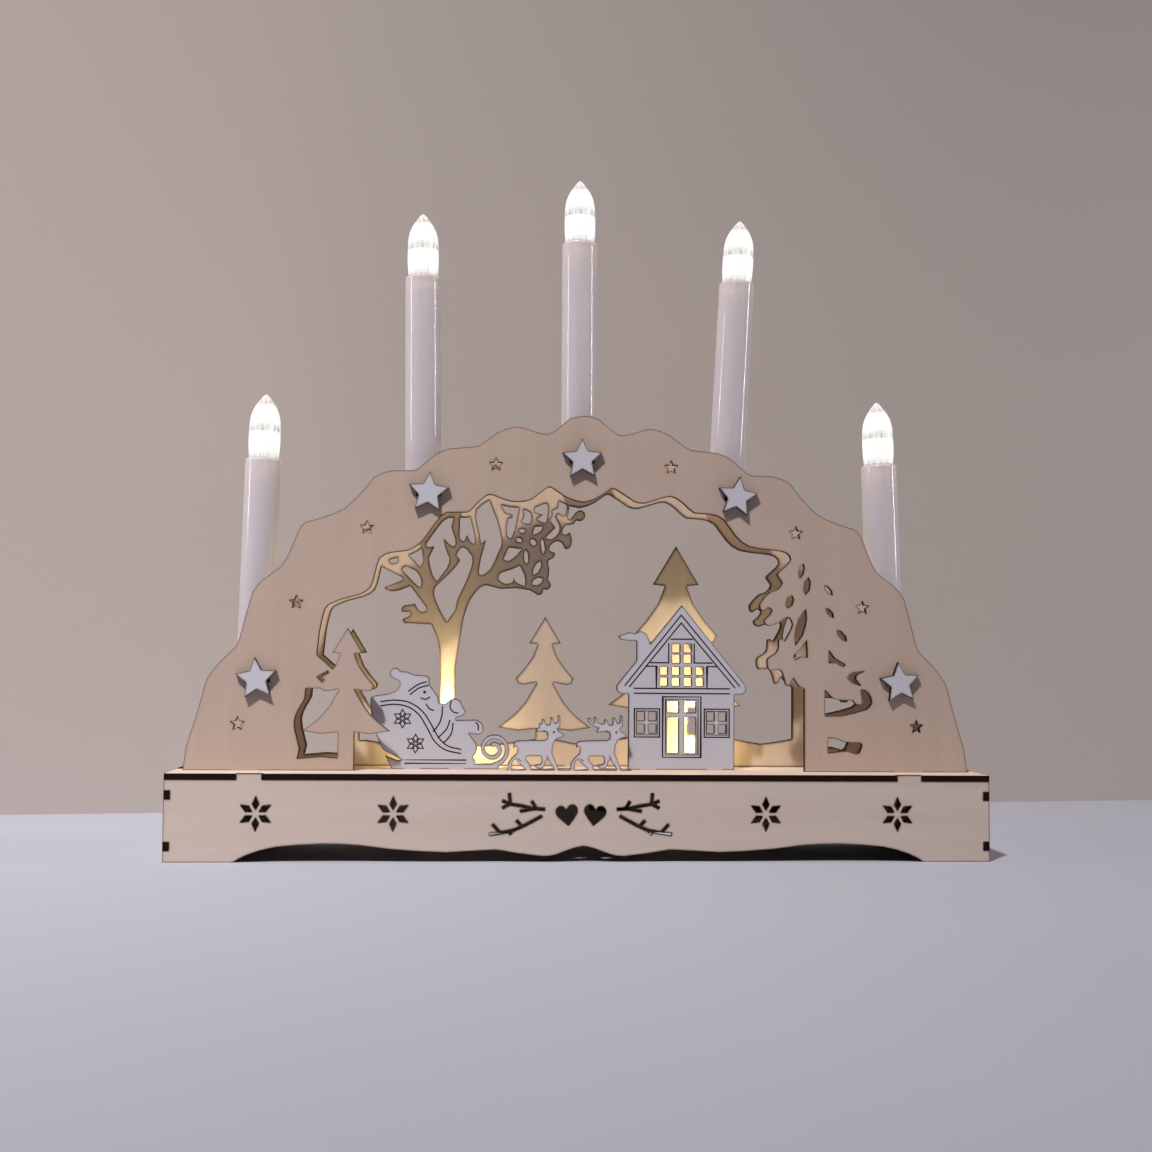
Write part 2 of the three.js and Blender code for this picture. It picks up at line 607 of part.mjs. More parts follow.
function reindeer(...antlers) {
  const shape = outline(
    [-2.7, 0],
    [[-2.4, 3.6], [-0.6, 6.1], [2, 8.6], [2.2, 11], [1.4, 12.2]],
    [[0.2, 11], [0.4, 13.4], [2.2, 14.7], [8.5, 15], [15.6, 15.1], [17.2, 16.4], [17, 19]],
    [[11.6, 19.2]],
    [[11.5, 20.8]],
    [[13.1, 21.4], [12.8, 23.2], [14.2, 23.4]],
    [[14.4, 25.4], [15.6, 25.2], [16.6, 22.8], [18.4, 22.8]],
    [[18.6, 26.2], [19.8, 26.2], [20.8, 23.4]],
    [[22.2, 24], [22.2, 27.3]],
    [[23.4, 27.3]],
    [[23.6, 22.4], [22, 20.4], [23.2, 19.4], [25.4, 18], [25, 16.6], [22.4, 16]],
    [[21, 15], [19.8, 12], [19.6, 8.6], [21.4, 4.4], [23.2, 0]],
    [[20.8, 0]],
    [[19.2, 3], [16.9, 5.6]],
    [[16, 3], [14.8, 1], [11.8, 1.1], [11.2, 2.8], [13.6, 3], [14.5, 4.8], [13.9, 7.1]],
    [[7, 7.1]],
    [[6.6, 5.4], [8.6, 3], [9.4, 0]],
    [[6.6, 0]],
    [[5.2, 1.6], [2.8, 3.6], [1.4, 5.8]],
    [[0, 4.6], [-0.6, 2.4], [-0.6, 0]],
  );
  const middle = reindeerBarEnd + reindeerBarWidth / 2;
  const bar = sceneTab(middle, reindeerBarWidth, reindeerBarRise);
  return join(plate(shape), ...antlers, bar);
}

// Box foot

// Half of the wavy edge between the feet of the front and back panels.
const footWave = [
  [163.5, 2.2], [159, 4.1], [147, 7.3], [125, 8.8], [107, 8.1], [93, 6.3], [78.5, 5.2], [66, 4.7],
  [50, 5.6], [42, 6], [31, 4.2], [20, 2.9], [13.5, 3.6], [5, 6.7], [0, 7.8],
];

// Six kite-shaped openings round a centre.
function snowflake(x, height) {
  const petals = [];
  const [inner, widest, side, tip] = [1.8, 4.6, 1.7, 8.4];
  for (let i = 0; i < 6; i++) {
    const angle = Math.PI / 2 + i * Math.PI / 3;
    const corner = (out, aside) => [
      x + out * Math.cos(angle) - aside * Math.sin(angle),
      height + out * Math.sin(angle) + aside * Math.cos(angle),
    ];
    const corners = [corner(widest, -side), corner(tip, 0), corner(widest, side)];
    petals.push(cutter(outline(corner(inner, 0), ...edges(corners))));
  }
  return join(...petals);
}

function heart(x, height, lean) {
  const shape = symmetric(
    [0, -5.6],
    [[2.6, -3], [4.9, -0.2], [5.2, 2.4], [3.4, 4.2], [1.2, 3.7], [0, 2]],
  );
  return placed(cutter(shape), x, height, lean);
}

// A pair of forked twigs to the right of the hearts, drawn from the panel's middle.
const twigWidth = 1.45;
const twigs = [
  [[17.4, 25.3], [23.2, 25.7], [28.6, 26.9], [34.2, 27.8], [38, 25.9]],
  [[34.2, 27.8], [34.6, 33]], [[34.2, 27.8], [38, 29.4]], [[21.8, 25.9], [23.8, 29.2]],
  [[22.4, 25.6], [29.4, 24.4]],
  [[18.8, 22.1], [26.8, 17.8], [32.2, 15.4], [38.8, 14], [44.2, 13.3]],
  [[38.8, 14], [42.6, 18.1]], [[28.4, 17.2], [31.2, 20]], [[32.2, 15.5], [34.6, 13.4]],
];

const panelMiddle = -1.3;
const panelHeight = 23;

function panelBlank() {
  const width = baseWidth / 2;
  const stretch = baseWidth / 400;
  const wave = footWave.map(([x, height]) => [x * stretch, height]);
  const shape = symmetric([167 * stretch, -1], [[167 * stretch, 0]], wave);
  const body = block([-width, width], [0, ply], [0, lidUnder]);
  const tabs = [-panelTabX, panelTabX].map((x) => (
    block(span(x, panelTabWidth), [0, ply], [lidUnder - 0.5, baseHeight])
  ));
  const notches = [-width, width].flatMap((end) => [lowFinger, highFinger].map((height) => (
    block(span(end, 2 * (ply + slotPlay)), [-1, ply + 1], span(height + fingerHeight / 2,
      fingerHeight + 2 * slotPlay))
  )));
  return cut(join(body, ...tabs), cutter(shape), ...notches);
}

function frontPanel() {
  const flakes = [-90.2, 90.2, -155.3, 155.3].map((x) => snowflake(panelMiddle + x, panelHeight));
  const hearts = [-1, 1].map((side) => heart(panelMiddle + side * 6.7, panelHeight, side * 8));
  const sprigs = [-1, 1].map((side) => grooves(
    twigs.map((path) => path.map(([x, height]) => [panelMiddle + side * x, height])),
    twigWidth,
  ));
  return cut(panelBlank(), ...flakes, ...hearts, ...sprigs);
}

function backPanel() {
  const slot = block(
    span(switchX, switchTravel + knobWidth + 2 * knobPlay),
    [-1, ply + 1],
    span(switchHeight, knobHeight + 2 * knobPlay),
  );
  return cut(panelBlank(), slot);
}

// A side panel stands between the front and back panels, and its fingers end flush with them.
function sidePanel() {
  const inner = baseBack - ply;
  const fingers = [-1, 1].flatMap((end) => [lowFinger, highFinger].map((height) => block(
    [0, ply],
    end < 0 ? [-baseBack, 0.5 - inner] : [inner - 0.5, baseBack],
    [height, height + fingerHeight],
  )));
  const tab = block([0, ply], span(0, sideTabWidth), [lidUnder - 0.5, baseHeight]);
  return join(block([0, ply], [-inner, inner], [0, lidUnder]), tab, ...fingers);
}

// Candle leads drop through the lid where the arches' wire run ends.
const leadHoles = [[-150 * across, frontArchY + ply + 3], [150 * across, frontArchY + ply + 3]];

function lid() {
  const [halfWidth, halfDepth] = [baseWidth / 2, baseDepth / 2];
  const slot = (x, y, width) => block(
    span(x, width + 2 * slotPlay),
    span(y + ply / 2, ply + 2 * slotPlay),
    [-1, ply + 1],
  );
  const edgeSlots = [-1, 1].flatMap((side) => [
    slot(-panelTabX, side * (halfDepth - ply / 2) - ply / 2, panelTabWidth),
    slot(panelTabX, side * (halfDepth - ply / 2) - ply / 2, panelTabWidth),
    block(span(side * (halfWidth - ply / 2), ply + 2 * slotPlay),
      span(0, sideTabWidth + 2 * slotPlay), [-1, ply + 1]),
  ]);
  const reindeerMiddle = (rearReindeerX + frontReindeerX + reindeerBarWidth) / 2 + reindeerBarEnd;
  const slots = [
    ...frontArchTabs.map((x) => slot(x, frontArchY, archTabWidth)),
    ...backArchTabs.map((x) => slot(x, backArchY, archTabWidth)),
    ...houseTabs.map((x) => slot(houseX + x, sceneY, houseTabWidth)),
    ...sleighTabs.map((x) => slot(sleighX + x, sceneY, sleighTabWidth)),
    slot(reindeerMiddle, reindeerY, 2 * reindeerBarWidth + reindeerBarGap),
  ];
  const holes = [
    ...leadHoles.map(([x, y]) => rod(leadHoleRadius, [-1, ply + 1], x, y)),
    ...lightSpots.map((x) => rod(ledRadius + slotPlay, [-1, ply + 1], x, sceneLightY)),
  ];
  const board = block([-halfWidth, halfWidth], [-halfDepth, halfDepth], [0, ply]);
  return cut(board, ...edgeSlots, ...slots, ...holes);
}

// Candles

function shelf(shift) {
  const board = block(span(0, shelfWidth), span(0, archGap), [-ply, 0]);
  const tab = block(span(0, shelfTabWidth), span(0, archGap + 2 * ply), [-ply, 0]);
  return cut(join(board, tab), rod(spigotRadius + spigotPlay, [-ply - 1, 1], shift, 0));
}

const pegRadius = boreRadius - turnedClearance;

function peg() {
  const hole = 2 * leadRadius + 2 * leadGap;
  const foot = -(ply - 0.4);
  return turned([
    [hole, foot], [spigotRadius, foot], [spigotRadius, 0], [pegRadius, 0], [pegRadius, pegHeight],
    [hole, pegHeight], [hole, foot],
  ], 12);
}

// A thin tube with a closed, softly rounded top that the bulb's neck goes through.
function candleTube() {
  const top = candleLength;
  const mouth = neckRadius + turnedClearance;
  const round = shoulderRound;
  return turned([
    [boreRadius, 0], [candleRadius, 0], [candleRadius, top - round],
    [candleRadius - round * 0.3, top - round * 0.3], [candleRadius - round, top], [mouth, top],
    [mouth, top - candleTopWall], [boreRadius, top - candleTopWall], [boreRadius, 0],
  ], 20);
}

// A hollow flame with upright flutes that fade towards its tip.
function flameBulb() {
  const bore = neckRadius - flameWall;
  const rise = (share) => share * flameHeight;
  const wide = (share) => share * flameRadius;
  const profile = [
    [0, rise(0.68)], [bore * 0.8, rise(0.5)], [bore, rise(0.2)], [bore, -neckDepth],
    [neckRadius, -neckDepth], [neckRadius, 0], [flameFootRadius, 0], [wide(1), rise(0.22)],
    [wide(0.99), rise(0.5)], [wide(0.89), rise(0.68)], [wide(0.69), rise(0.79)],
    [wide(0.4), rise(0.9)], [wide(0.18), rise(0.97)], [0, rise(1)],
  ];
  const geometry = turned(profile, 2 * fluteCount);
  const place = geometry.attributes.position;
  for (let i = 0; i < place.count; i++) {
    const [x, y, z] = [place.getX(i), place.getY(i), place.getZ(i)];
    const radius = Math.hypot(x, y);
    if (z <= 0 || radius < bore + 0.1) continue;
    const spoke = Math.round(Math.atan2(y, x) / (Math.PI / fluteCount));
    const fade = Math.min(1, radius / wide(0.8));
    const reach = radius - (Math.abs(spoke) % 2 ? fluteDepth * fade : 0);
    place.setXY(i, x * reach / radius, y * reach / radius);
  }
  return geometry;
}

// A light on a round board that holds itself in the tube's bore under the bulb's neck.
function flameLight() {
  const foot = -neckDepth - turnedClearance - ledDiscHeight;
  const face = foot + ledDiscHeight;
  const disc = boreRadius - turnedClearance;
  return turned([
    [0, foot], [disc, foot], [disc, face], [ledRadius, face],
    [ledRadius, face + ledHeight - ledRadius], [0, face + ledHeight],
  ], 10);
}

// A light that stands in a hole in the lid, with a flange on top of it.
function lidLight() {
  return turned([
    [0, -ply - 2], [ledRadius, -ply - 2], [ledRadius, 0], [ledRadius + ledFlange, 0],
    [ledRadius + ledFlange, 1], [ledRadius, 1], [ledRadius, ledHeight - ledRadius],
    [ledRadius * 0.7, ledHeight - 0.3 * ledRadius], [0, ledHeight],
  ], 12);
}

// Each lead runs down its candle, along the back of the front arch, through the lid and on to the
// terminal block. The run is given on the right half of the arch, in the arches' drawing.
const leadRun = [
  [14, 147.5], [26, 146], [44, 143.4], [60, 134.6], [76, 130.5], [90, 121.5], [104, 114.6],
  [118, 112], [128, 103], [133.5, 93], [135, 83], [139, 72], [142, 60], [144, 52], [145.2, 44.4],
  [147.8, 38.4], [149.4, 28], [150, 18], [150, 6],
];
const leadJoinsRun = [15, 5, 0, 5, 15];

function leadPath(i, foot, up) {
  const side = i > 2 ? 1 : -1;
  const order = i > 2 ? i - 3 : 2 - i;
  const depth = frontArchY + ply + leadGap + leadRadius + order * (2 * leadRadius + leadGap);
  const [spotX, spotHeight] = candleSpots[i];
  const under = baseHeight + spotHeight * upward - ply / 2;
  const along = (height) => foot.clone().addScaledVector(up, height);
  const top = candleStandOff[i] + candleLength - neckDepth - turnedClearance - ledDiscHeight - 0.1;
  const points = [
    along(top), along(top * 0.5), along(pegHeight + 6), along(pegHeight), along(-ply), along(-ply - 2),
  ];
  const way = leadRun.slice(leadJoinsRun[i]).map(([x, height]) => (
    new THREE.Vector3(side * x * across, depth, baseHeight + height * upward)
  ));
  const bend = new THREE.Vector3((spotX * across + way[0].x) / 2, depth * 0.6, under - 4.6);
  const hole = way.at(-1).x;
  const level = leadLevel(order);
  const terminal = side > 0 ? terminalX[1] + 0.1 : terminalX[0] - 0.1;
  const shifted = (share) => depth + share * (terminalRow - depth);
  const below = [
    [hole, depth, lidUnder + 1], [hole - side * 0.4, depth, level + 1.6],
    [hole - side * 3, shifted(0.25), level], [hole - side * 10, shifted(0.8), level],
    [hole - side * 18, terminalRow, level], [(hole + terminal) / 2, terminalRow, level],
    [terminal, terminalRow, level],
  ].map((place) => new THREE.Vector3(...place));
  const curve = new THREE.CatmullRomCurve3([...points, bend, ...way, ...below], false, 'centripetal');
  return { curve, steps: Math.round(curve.getLength() / leadStep) };
}

// Under the lid the leads are stacked over each other on their way to the terminal block.
function leadLevel(order) {
  return lidUnder - 4 - order * (2 * leadRadius + leadRowGap);
}

function tube(curve, steps, radius, sides = 5) {
  const section = new THREE.Shape();
  for (let i = 0; i < sides; i++) {
    const angle = i * 2 * Math.PI / sides;
    const move = i ? 'lineTo' : 'moveTo';
    section[move](radius * Math.cos(angle), radius * Math.sin(angle));
  }
  return new THREE.ExtrudeGeometry(section, { extrudePath: curve, steps, bevelEnabled: false });
}

// Battery box

const cellPitch = 2 * cellRadius + cellGap;
const boxLength = cellLength + cellNub + 2 * contactRoom;
const boxWidth = 3 * cellPitch + 0.2;
const cellTop = lidUnder - boxWall - 0.2;
const cellAxis = cellTop - cellRadius;
const cavityFloor = cellAxis - cellRadius - 0.2;
const grooveFloor = cavityFloor - coverThickness - 2 * coverPlay;
const boxFloor = grooveFloor - coverLip;
const outerLength = boxLength + 2 * boxWall;
const outerWidth = boxWidth + 2 * (boxWall + coverGrip);
const boxY = baseBack - ply - batteryBoxGap - outerWidth / 2;
const batteryBoxX = leadHoles[1][0] - boxFromLeadHole - outerLength / 2;
const terminalEnd = batteryBoxX - outerLength / 2 - terminalFromBox;
const terminalX = [terminalEnd - terminalWidth, terminalEnd];
const terminalY = [boxY - outerWidth / 2 - terminalDepth, boxY - outerWidth / 2];
const terminalRow = (terminalY[0] + terminalY[1]) / 2;

// The cover slides along the box in a groove that is open at the right end.
function batteryBox() {
  const outer = block(span(0, outerLength), span(0, outerWidth), [boxFloor, lidUnder]);
  const cavity = block(span(0, boxLength), span(0, boxWidth), [cavityFloor - 0.1, lidUnder - boxWall]);
  const groove = block([-boxLength / 2, outerLength], span(0, boxWidth + 2 * coverGrip),
    [grooveFloor, cavityFloor]);
  const mouth = block([-boxLength / 2, outerLength], span(0, boxWidth), [boxFloor - 1, cavityFloor]);
  return cut(outer, cavity, groove, mouth);
}

function batteryCover() {
  const low = grooveFloor + coverPlay;
  const wide = boxWidth + 2 * coverGrip - 2 * coverPlay;
  const board = block([-boxLength / 2 + coverPlay, outerLength / 2], span(0, wide),
    [low, low + coverThickness]);
  const ribs = Array.from({ length: gripRibs }, (_, i) => (
    block(span(outerLength / 2 - 8 - 3 * i, 1.2), span(0, boxWidth * 0.4), [low - 0.7, low + 0.2])
  ));
  return join(board, ...ribs);
}

function cell() {
  const half = (cellLength + cellNub) / 2;
  const profile = [
    [0, -half], [cellRadius, -half], [cellRadius, half - cellNub], [cellNubRadius, half - cellNub],
    [cellNubRadius, half], [0, half],
  ];
  return turned(profile, 16).rotateY(Math.PI / 2);
}

// A spring strip with a domed tongue for each cell, folded out of one sheet.
function contactStrip() {
  const strip = block([0, contactPlate], span(0, boxWidth - 0.4), span(cellAxis, cellRadius * 1.4));
  const tongues = [-1, 0, 1].map((i) => solid(turned(
    [[0, -0.2], [3, -0.2], [1.6, contactRoom - contactPlate - 0.2],
      [0, contactRoom - contactPlate - 0.2]],
    8,
  ).rotateY(Math.PI / 2).translate(contactPlate, i * cellPitch, cellAxis)));
  return join(strip, ...tongues);
}

// Slide switch

function switchBody() {
  const face = baseBack - ply;
  const flange = block(span(switchX, switchBodyWidth + 2 * switchEar), [face - switchFlange, face],
    span(switchHeight, switchBodyHeight));
  const body = block(span(switchX, switchBodyWidth), [face - switchBodyDepth, face - switchFlange + 0.1],
    span(switchHeight, switchBodyHeight));
  const well = block(span(switchX, switchTravel + knobWidth + 2 * knobPlay), [face - 2.5, face + 1],
    span(switchHeight, knobHeight + 2 * knobPlay));
  return cut(join(flange, body), well);
}

// The knob rests at the end of its slot that switches the lights on.
function switchKnob() {
  const face = baseBack - ply;
  const restX = switchX - switchTravel / 2;
  const stem = block(span(restX, knobWidth), [face - 2.3, baseBack - knobRecess - 0.8],
    span(switchHeight, knobHeight));
  const ridges = [-1, 0, 1].map((i) => block(
    span(restX + i * knobWidth * 0.34, knobWidth * 0.2),
    [baseBack - knobRecess - 0.9, baseBack - knobRecess],
    span(switchHeight, knobHeight),
  ));
  return join(stem, ...ridges);
}

// Finishes
const finish = (color, roughness, metalness = 0) => (
  new THREE.MeshStandardMaterial({ color, roughness, metalness, flatShading: true })
);
const rawPly = finish(0xc4a68f, 0.75);
const backPly = finish(0xcbab7e, 0.75);
const paintedPly = finish(0xd3cdd6, 0.6);
const candlePlastic = finish(0xe9e6ea, 0.35);
const flamePlastic = finish(0xfff3dc, 0.1);
const lightPlastic = finish(0xffe9b8, 0.3);
const darkPlastic = finish(0x26262a, 0.5);
const leadPlastic = finish(0xe8e4dc, 0.5);
const cellJacket = finish(0x3b4d6b, 0.4);
const springSteel = finish(0xb9babd, 0.3, 0.9);

// Assembly
const candleArch = new THREE.Group();

function add(name, shape, material, x = 0, y = 0, z = 0, parent = candleArch) {
  const geometry = shape.isBufferGeometry ? closed(shape) : geometryOf(shape);
  const mesh = new THREE.Mesh(geometry, material);
  mesh.name = name;
  mesh.position.set(x, y, z);
  parent.add(mesh);
}

add('base_front_panel', frontPanel(), rawPly, 0, -baseBack, 0);
add('base_back_panel', backPanel(), rawPly, 0, baseBack - ply, 0);
add('base_left_side', sidePanel(), rawPly, -baseWidth / 2, 0, 0);
add('base_right_side', sidePanel(), rawPly, baseWidth / 2 - ply, 0, 0);
add('base_lid', lid(), rawPly, 0, 0, lidUnder);
add('front_arch', frontArch(), rawPly, 0, frontArchY, baseHeight);
add('back_arch', backArch(), backPly, 0, backArchY, baseHeight);

add('sleigh', sleigh(), paintedPly, sleighX, sceneY, baseHeight);
add('reindeer_rear', reindeer(), paintedPly, rearReindeerX, reindeerY, baseHeight);
add('reindeer_front', reindeer(secondAntler()), paintedPly, frontReindeerX, reindeerY, baseHeight);
add('house', house(), paintedPly, houseX, sceneY, baseHeight);
add('scene_light_sleigh', lidLight(), lightPlastic, lightSpots[0], sceneLightY, baseHeight);
add('scene_light_house', lidLight(), lightPlastic, lightSpots[1], sceneLightY, baseHeight);

candleSpots.forEach(([drawnX, drawnHeight], i) => {
  const [x, height] = [drawnX * across, baseHeight + drawnHeight * upward];
  const shelfTop = height + ply / 2;
  const lean = THREE.MathUtils.degToRad(candleLean[i]);
  const lift = candleRadius * Math.sin(Math.abs(lean)) + candleClearance;
  const foot = new THREE.Vector3(x + candleShift[i], 0, shelfTop + lift);
  const up = new THREE.Vector3(Math.sin(lean), 0, Math.cos(lean));
  const number = i + 1;
  const tubeTop = candleStandOff[i] + candleLength;
  add(`star_${number}`, plate(polygonStar(starRadius, starWaist, starTurn[i])), paintedPly,
    x, frontArchY - ply, height);
  add(`candle_shelf_${number}`, shelf(candleShift[i]), rawPly, x, 0, shelfTop);
  const candle = new THREE.Group();
  candle.position.copy(foot);
  candle.rotation.y = lean;
  candleArch.add(candle);
  add(`candle_peg_${number}`, peg(), candlePlastic, 0, 0, 0, candle);
  add(`candle_tube_${number}`, candleTube(), candlePlastic, 0, 0, candleStandOff[i], candle);
  add(`flame_light_${number}`, flameLight(), lightPlastic, 0, 0, tubeTop, candle);
  add(`flame_bulb_${number}`, flameBulb(), flamePlastic, 0, 0, tubeTop + 0.1, candle);
  const { curve, steps } = leadPath(i, foot, up);
  add(`candle_lead_${number}`, tube(curve, steps, leadRadius), leadPlastic);
});

add('battery_box', batteryBox(), darkPlastic, batteryBoxX, boxY, 0);
add('battery_cover', batteryCover(), darkPlastic, batteryBoxX, boxY, 0);
[-1, 0, 1].forEach((row, i) => {
  const geometry = cell().rotateZ(i === 1 ? Math.PI : 0);
  add(`battery_cell_${i + 1}`, geometry, cellJacket, batteryBoxX, boxY + row * cellPitch, cellAxis);
});
add('contact_strip_left', contactStrip(), springSteel, batteryBoxX - boxLength / 2, boxY, 0);
add('contact_strip_right', geometryOf(contactStrip()).rotateZ(Math.PI), springSteel,
  batteryBoxX + boxLength / 2, boxY, 0);
add('terminal_block', block(terminalX, terminalY, [lidUnder - terminalHeight, lidUnder]), darkPlastic);
add('switch_body', switchBody(), darkPlastic);
add('switch_knob', switchKnob(), darkPlastic);
const switchLeadLevel = lidUnder - terminalHeight / 2;
const switchLeadRow = terminalRow + 2.6;
add('switch_lead', tube(new THREE.CatmullRomCurve3([
  [switchX, baseBack - ply - switchBodyDepth - 0.1, switchHeight],
  [switchX, baseBack - ply - switchBodyDepth - 8, switchHeight + 1],
  [switchX + 3, 4, switchHeight + 5],
  [switchX + 10, terminalRow + 14, switchLeadLevel - 3],
  [switchX + 22, switchLeadRow + 1, switchLeadLevel - 1],
  [terminalX[0] - 6, switchLeadRow, switchLeadLevel],
  [terminalX[0] - 0.1, switchLeadRow, switchLeadLevel],
].map((place) => new THREE.Vector3(...place)), false, 'centripetal'), 12, leadRadius), leadPlastic);

export default candleArch;
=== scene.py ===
"""The looks of a plywood candle arch with five lit candles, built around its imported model.

Metres, +Z up, the front faces -Y. It runs in Blender 4.5 from top to bottom: the camera, the room
and its lamps, and then the arch in the order in which it is put together, which is the box foot,
the two arches with their shelves, the winter scene, the stars, the candles with their flames, the
lights, and last the battery box, the switch and the leads.
"""

from math import atan2, cos, hypot, pi, radians, sin

import bmesh
import bpy
from mathutils import Euler, Matrix, Vector


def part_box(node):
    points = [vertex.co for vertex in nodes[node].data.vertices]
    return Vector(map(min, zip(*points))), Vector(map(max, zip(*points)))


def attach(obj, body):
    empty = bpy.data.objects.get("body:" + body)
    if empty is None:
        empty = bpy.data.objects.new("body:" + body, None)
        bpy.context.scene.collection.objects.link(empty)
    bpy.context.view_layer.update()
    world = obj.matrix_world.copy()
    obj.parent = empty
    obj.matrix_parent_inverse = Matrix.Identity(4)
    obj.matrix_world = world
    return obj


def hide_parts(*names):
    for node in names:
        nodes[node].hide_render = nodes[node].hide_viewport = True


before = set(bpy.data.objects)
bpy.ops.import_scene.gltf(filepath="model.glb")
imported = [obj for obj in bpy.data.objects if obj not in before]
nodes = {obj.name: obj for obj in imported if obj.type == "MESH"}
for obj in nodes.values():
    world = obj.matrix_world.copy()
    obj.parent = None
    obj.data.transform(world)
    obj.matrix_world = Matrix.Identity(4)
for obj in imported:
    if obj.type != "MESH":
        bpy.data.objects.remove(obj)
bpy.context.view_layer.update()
mm = 0.001

# Camera. It stands a little left of the middle and 60 mm over the box's lid, and is turned a
# little to the right and up, as the photograph was taken. Pixels are those of its 1152 frame.

picture_width = 1152
focal_pixels = 1438
sensor_width = 36
camera_place = Vector((-48.8, -731.5, 103.2)) * mm
camera_yaw = radians(3.618)
camera_pitch = radians(2.857)
camera_roll = radians(0.482)

view = bpy.data.cameras.new("photo_camera")
view.sensor_width = sensor_width
view.lens = focal_pixels * sensor_width / picture_width
camera = bpy.data.objects.new("photo_camera", view)
facing = Euler((pi / 2 + camera_pitch, 0, -camera_yaw)).to_matrix()
camera.matrix_world = (
    Matrix.Translation(camera_place) @ (facing @ Matrix.Rotation(camera_roll, 3, "Z")).to_4x4()
)
bpy.context.scene.collection.objects.link(camera)
bpy.context.scene.camera = camera
bpy.context.scene.view_settings.view_transform = "Standard"

# Room. A pale table top meets a plain warm grey wall a little behind the arch. The table is smooth
# matt laminate, and the wall is rolled emulsion paint with a fine orange peel.

wall_distance = 201.5 * mm
wall_turn = radians(7.3)
room_reach = 4.0


def linear(color):
    """An sRGB hex colour as the linear colour that Blender's nodes take."""
    channels = [int(color[i:i + 2], 16) / 255 for i in (1, 3, 5)]
    return [c / 12.92 if c <= 0.04045 else ((c + 0.055) / 1.055) ** 2.4 for c in channels] + [1]


def node(material, kind, inputs=None, **settings):
    """Adds a node with its settings to a material or a world. An input that is another node's
    socket is linked."""
    added = material.node_tree.nodes.new(kind)
    for name, value in settings.items():
        setattr(added, name, value)
    for name, value in (inputs or {}).items():
        if isinstance(value, bpy.types.NodeSocket):
            material.node_tree.links.new(value, added.inputs[name])
        else:
            added.inputs[name].default_value = value
    return added


def new_material(name):
    """An empty material, ready for its nodes."""
    material = bpy.data.materials.new(name)
    material.use_nodes = True
    material.node_tree.nodes.clear()
    return material


def surface(material, shader):
    """Links the last shader to the material's output."""
    node(material, "ShaderNodeOutputMaterial", {"Surface": shader.outputs[0]})
    return material


def one_sided(material, shader):
    """The shader on the front of a sheet. The eye looks through its back, to see the part from
    behind the wall or from under the table."""
    behind = node(material, "ShaderNodeMath", {
        0: node(material, "ShaderNodeNewGeometry").outputs["Backfacing"],
        1: node(material, "ShaderNodeLightPath").outputs["Is Camera Ray"],
    }, operation="MULTIPLY")
    return node(material, "ShaderNodeMixShader", {
        0: behind.outputs["Value"], 1: shader.outputs[0],
        2: node(material, "ShaderNodeBsdfTransparent").outputs[0],
    })


def mesh_object(name, points, faces, material, smooth=False):
    """A mesh object from points and faces, with its normals turned outwards."""
    mesh = bpy.data.meshes.new(name)
    mesh.from_pydata([tuple(p) for p in points], [], faces)
    mesh.update()
    work = bmesh.new()
    work.from_mesh(mesh)
    bmesh.ops.recalc_face_normals(work, faces=work.faces)
    work.to_mesh(mesh)
    work.free()
    if smooth:
        mesh.polygons.foreach_set("use_smooth", [True] * len(mesh.polygons))
    made = bpy.data.objects.new(name, mesh)
    bpy.context.scene.collection.objects.link(made)
    made.data.materials.append(material)
    return made


# Laminate: smooth and matt, with a tone that drifts a little over a third of a metre.
drift_width = 1 / 3
laminate = new_material("matt_laminate")
spot = node(laminate, "ShaderNodeTexCoord")
drift = node(laminate, "ShaderNodeTexNoise", {
    "Vector": spot.outputs["Object"], "Scale": 1 / drift_width,
})
tone = node(laminate, "ShaderNodeMix", {
    "Factor": drift.outputs["Fac"], "A": linear("#acafbc"), "B": linear("#b2b4c1"),
}, data_type="RGBA")
surface(laminate, one_sided(laminate, node(laminate, "ShaderNodeBsdfPrincipled", {
    "Base Color": tone.outputs["Result"], "Roughness": 0.75, "Specular IOR Level": 0.1,
})))

# Emulsion: dead matt, with an orange peel of about 2 mm left by the roller.
peel_width, peel_relief = 2 * mm, 0.1 * mm
emulsion = new_material("rolled_emulsion")
spot = node(emulsion, "ShaderNodeTexCoord")
peel = node(emulsion, "ShaderNodeTexNoise", {
    "Vector": spot.outputs["Object"], "Scale": 1 / peel_width,
})
relief = node(emulsion, "ShaderNodeBump", {
    "Height": peel.outputs["Fac"], "Strength": 0.12, "Distance": peel_relief,
})
surface(emulsion, one_sided(emulsion, node(emulsion, "ShaderNodeBsdfPrincipled", {
    "Base Color": linear("#b6aca9"), "Roughness": 0.9, "Specular IOR Level": 0.1,
    "Normal": relief.outputs["Normal"],
})))

table = mesh_object("table_top", [
    (-room_reach, -room_reach, 0), (room_reach, -room_reach, 0),
    (room_reach, room_reach, 0), (-room_reach, room_reach, 0),
], [(0, 1, 2, 3)], laminate)
wall = mesh_object("wall", [
    (-room_reach, 0, 0), (room_reach, 0, 0),
    (room_reach, 0, room_reach), (-room_reach, 0, room_reach),
], [(0, 1, 2, 3)], emulsion)
wall.matrix_world = Matrix.Translation((0, wall_distance, 0)) @ Matrix.Rotation(wall_turn, 4, "Z")

# Lamps. One lamp high up on the left in front gives the short, clear shadows that fall to the
# right and down, and its pool of light is brightest on the left. Two narrow tall strips at the
# sides draw the upright streaks on the candles, and a pale sky fills in.

lamp_color = "#fffaf6"


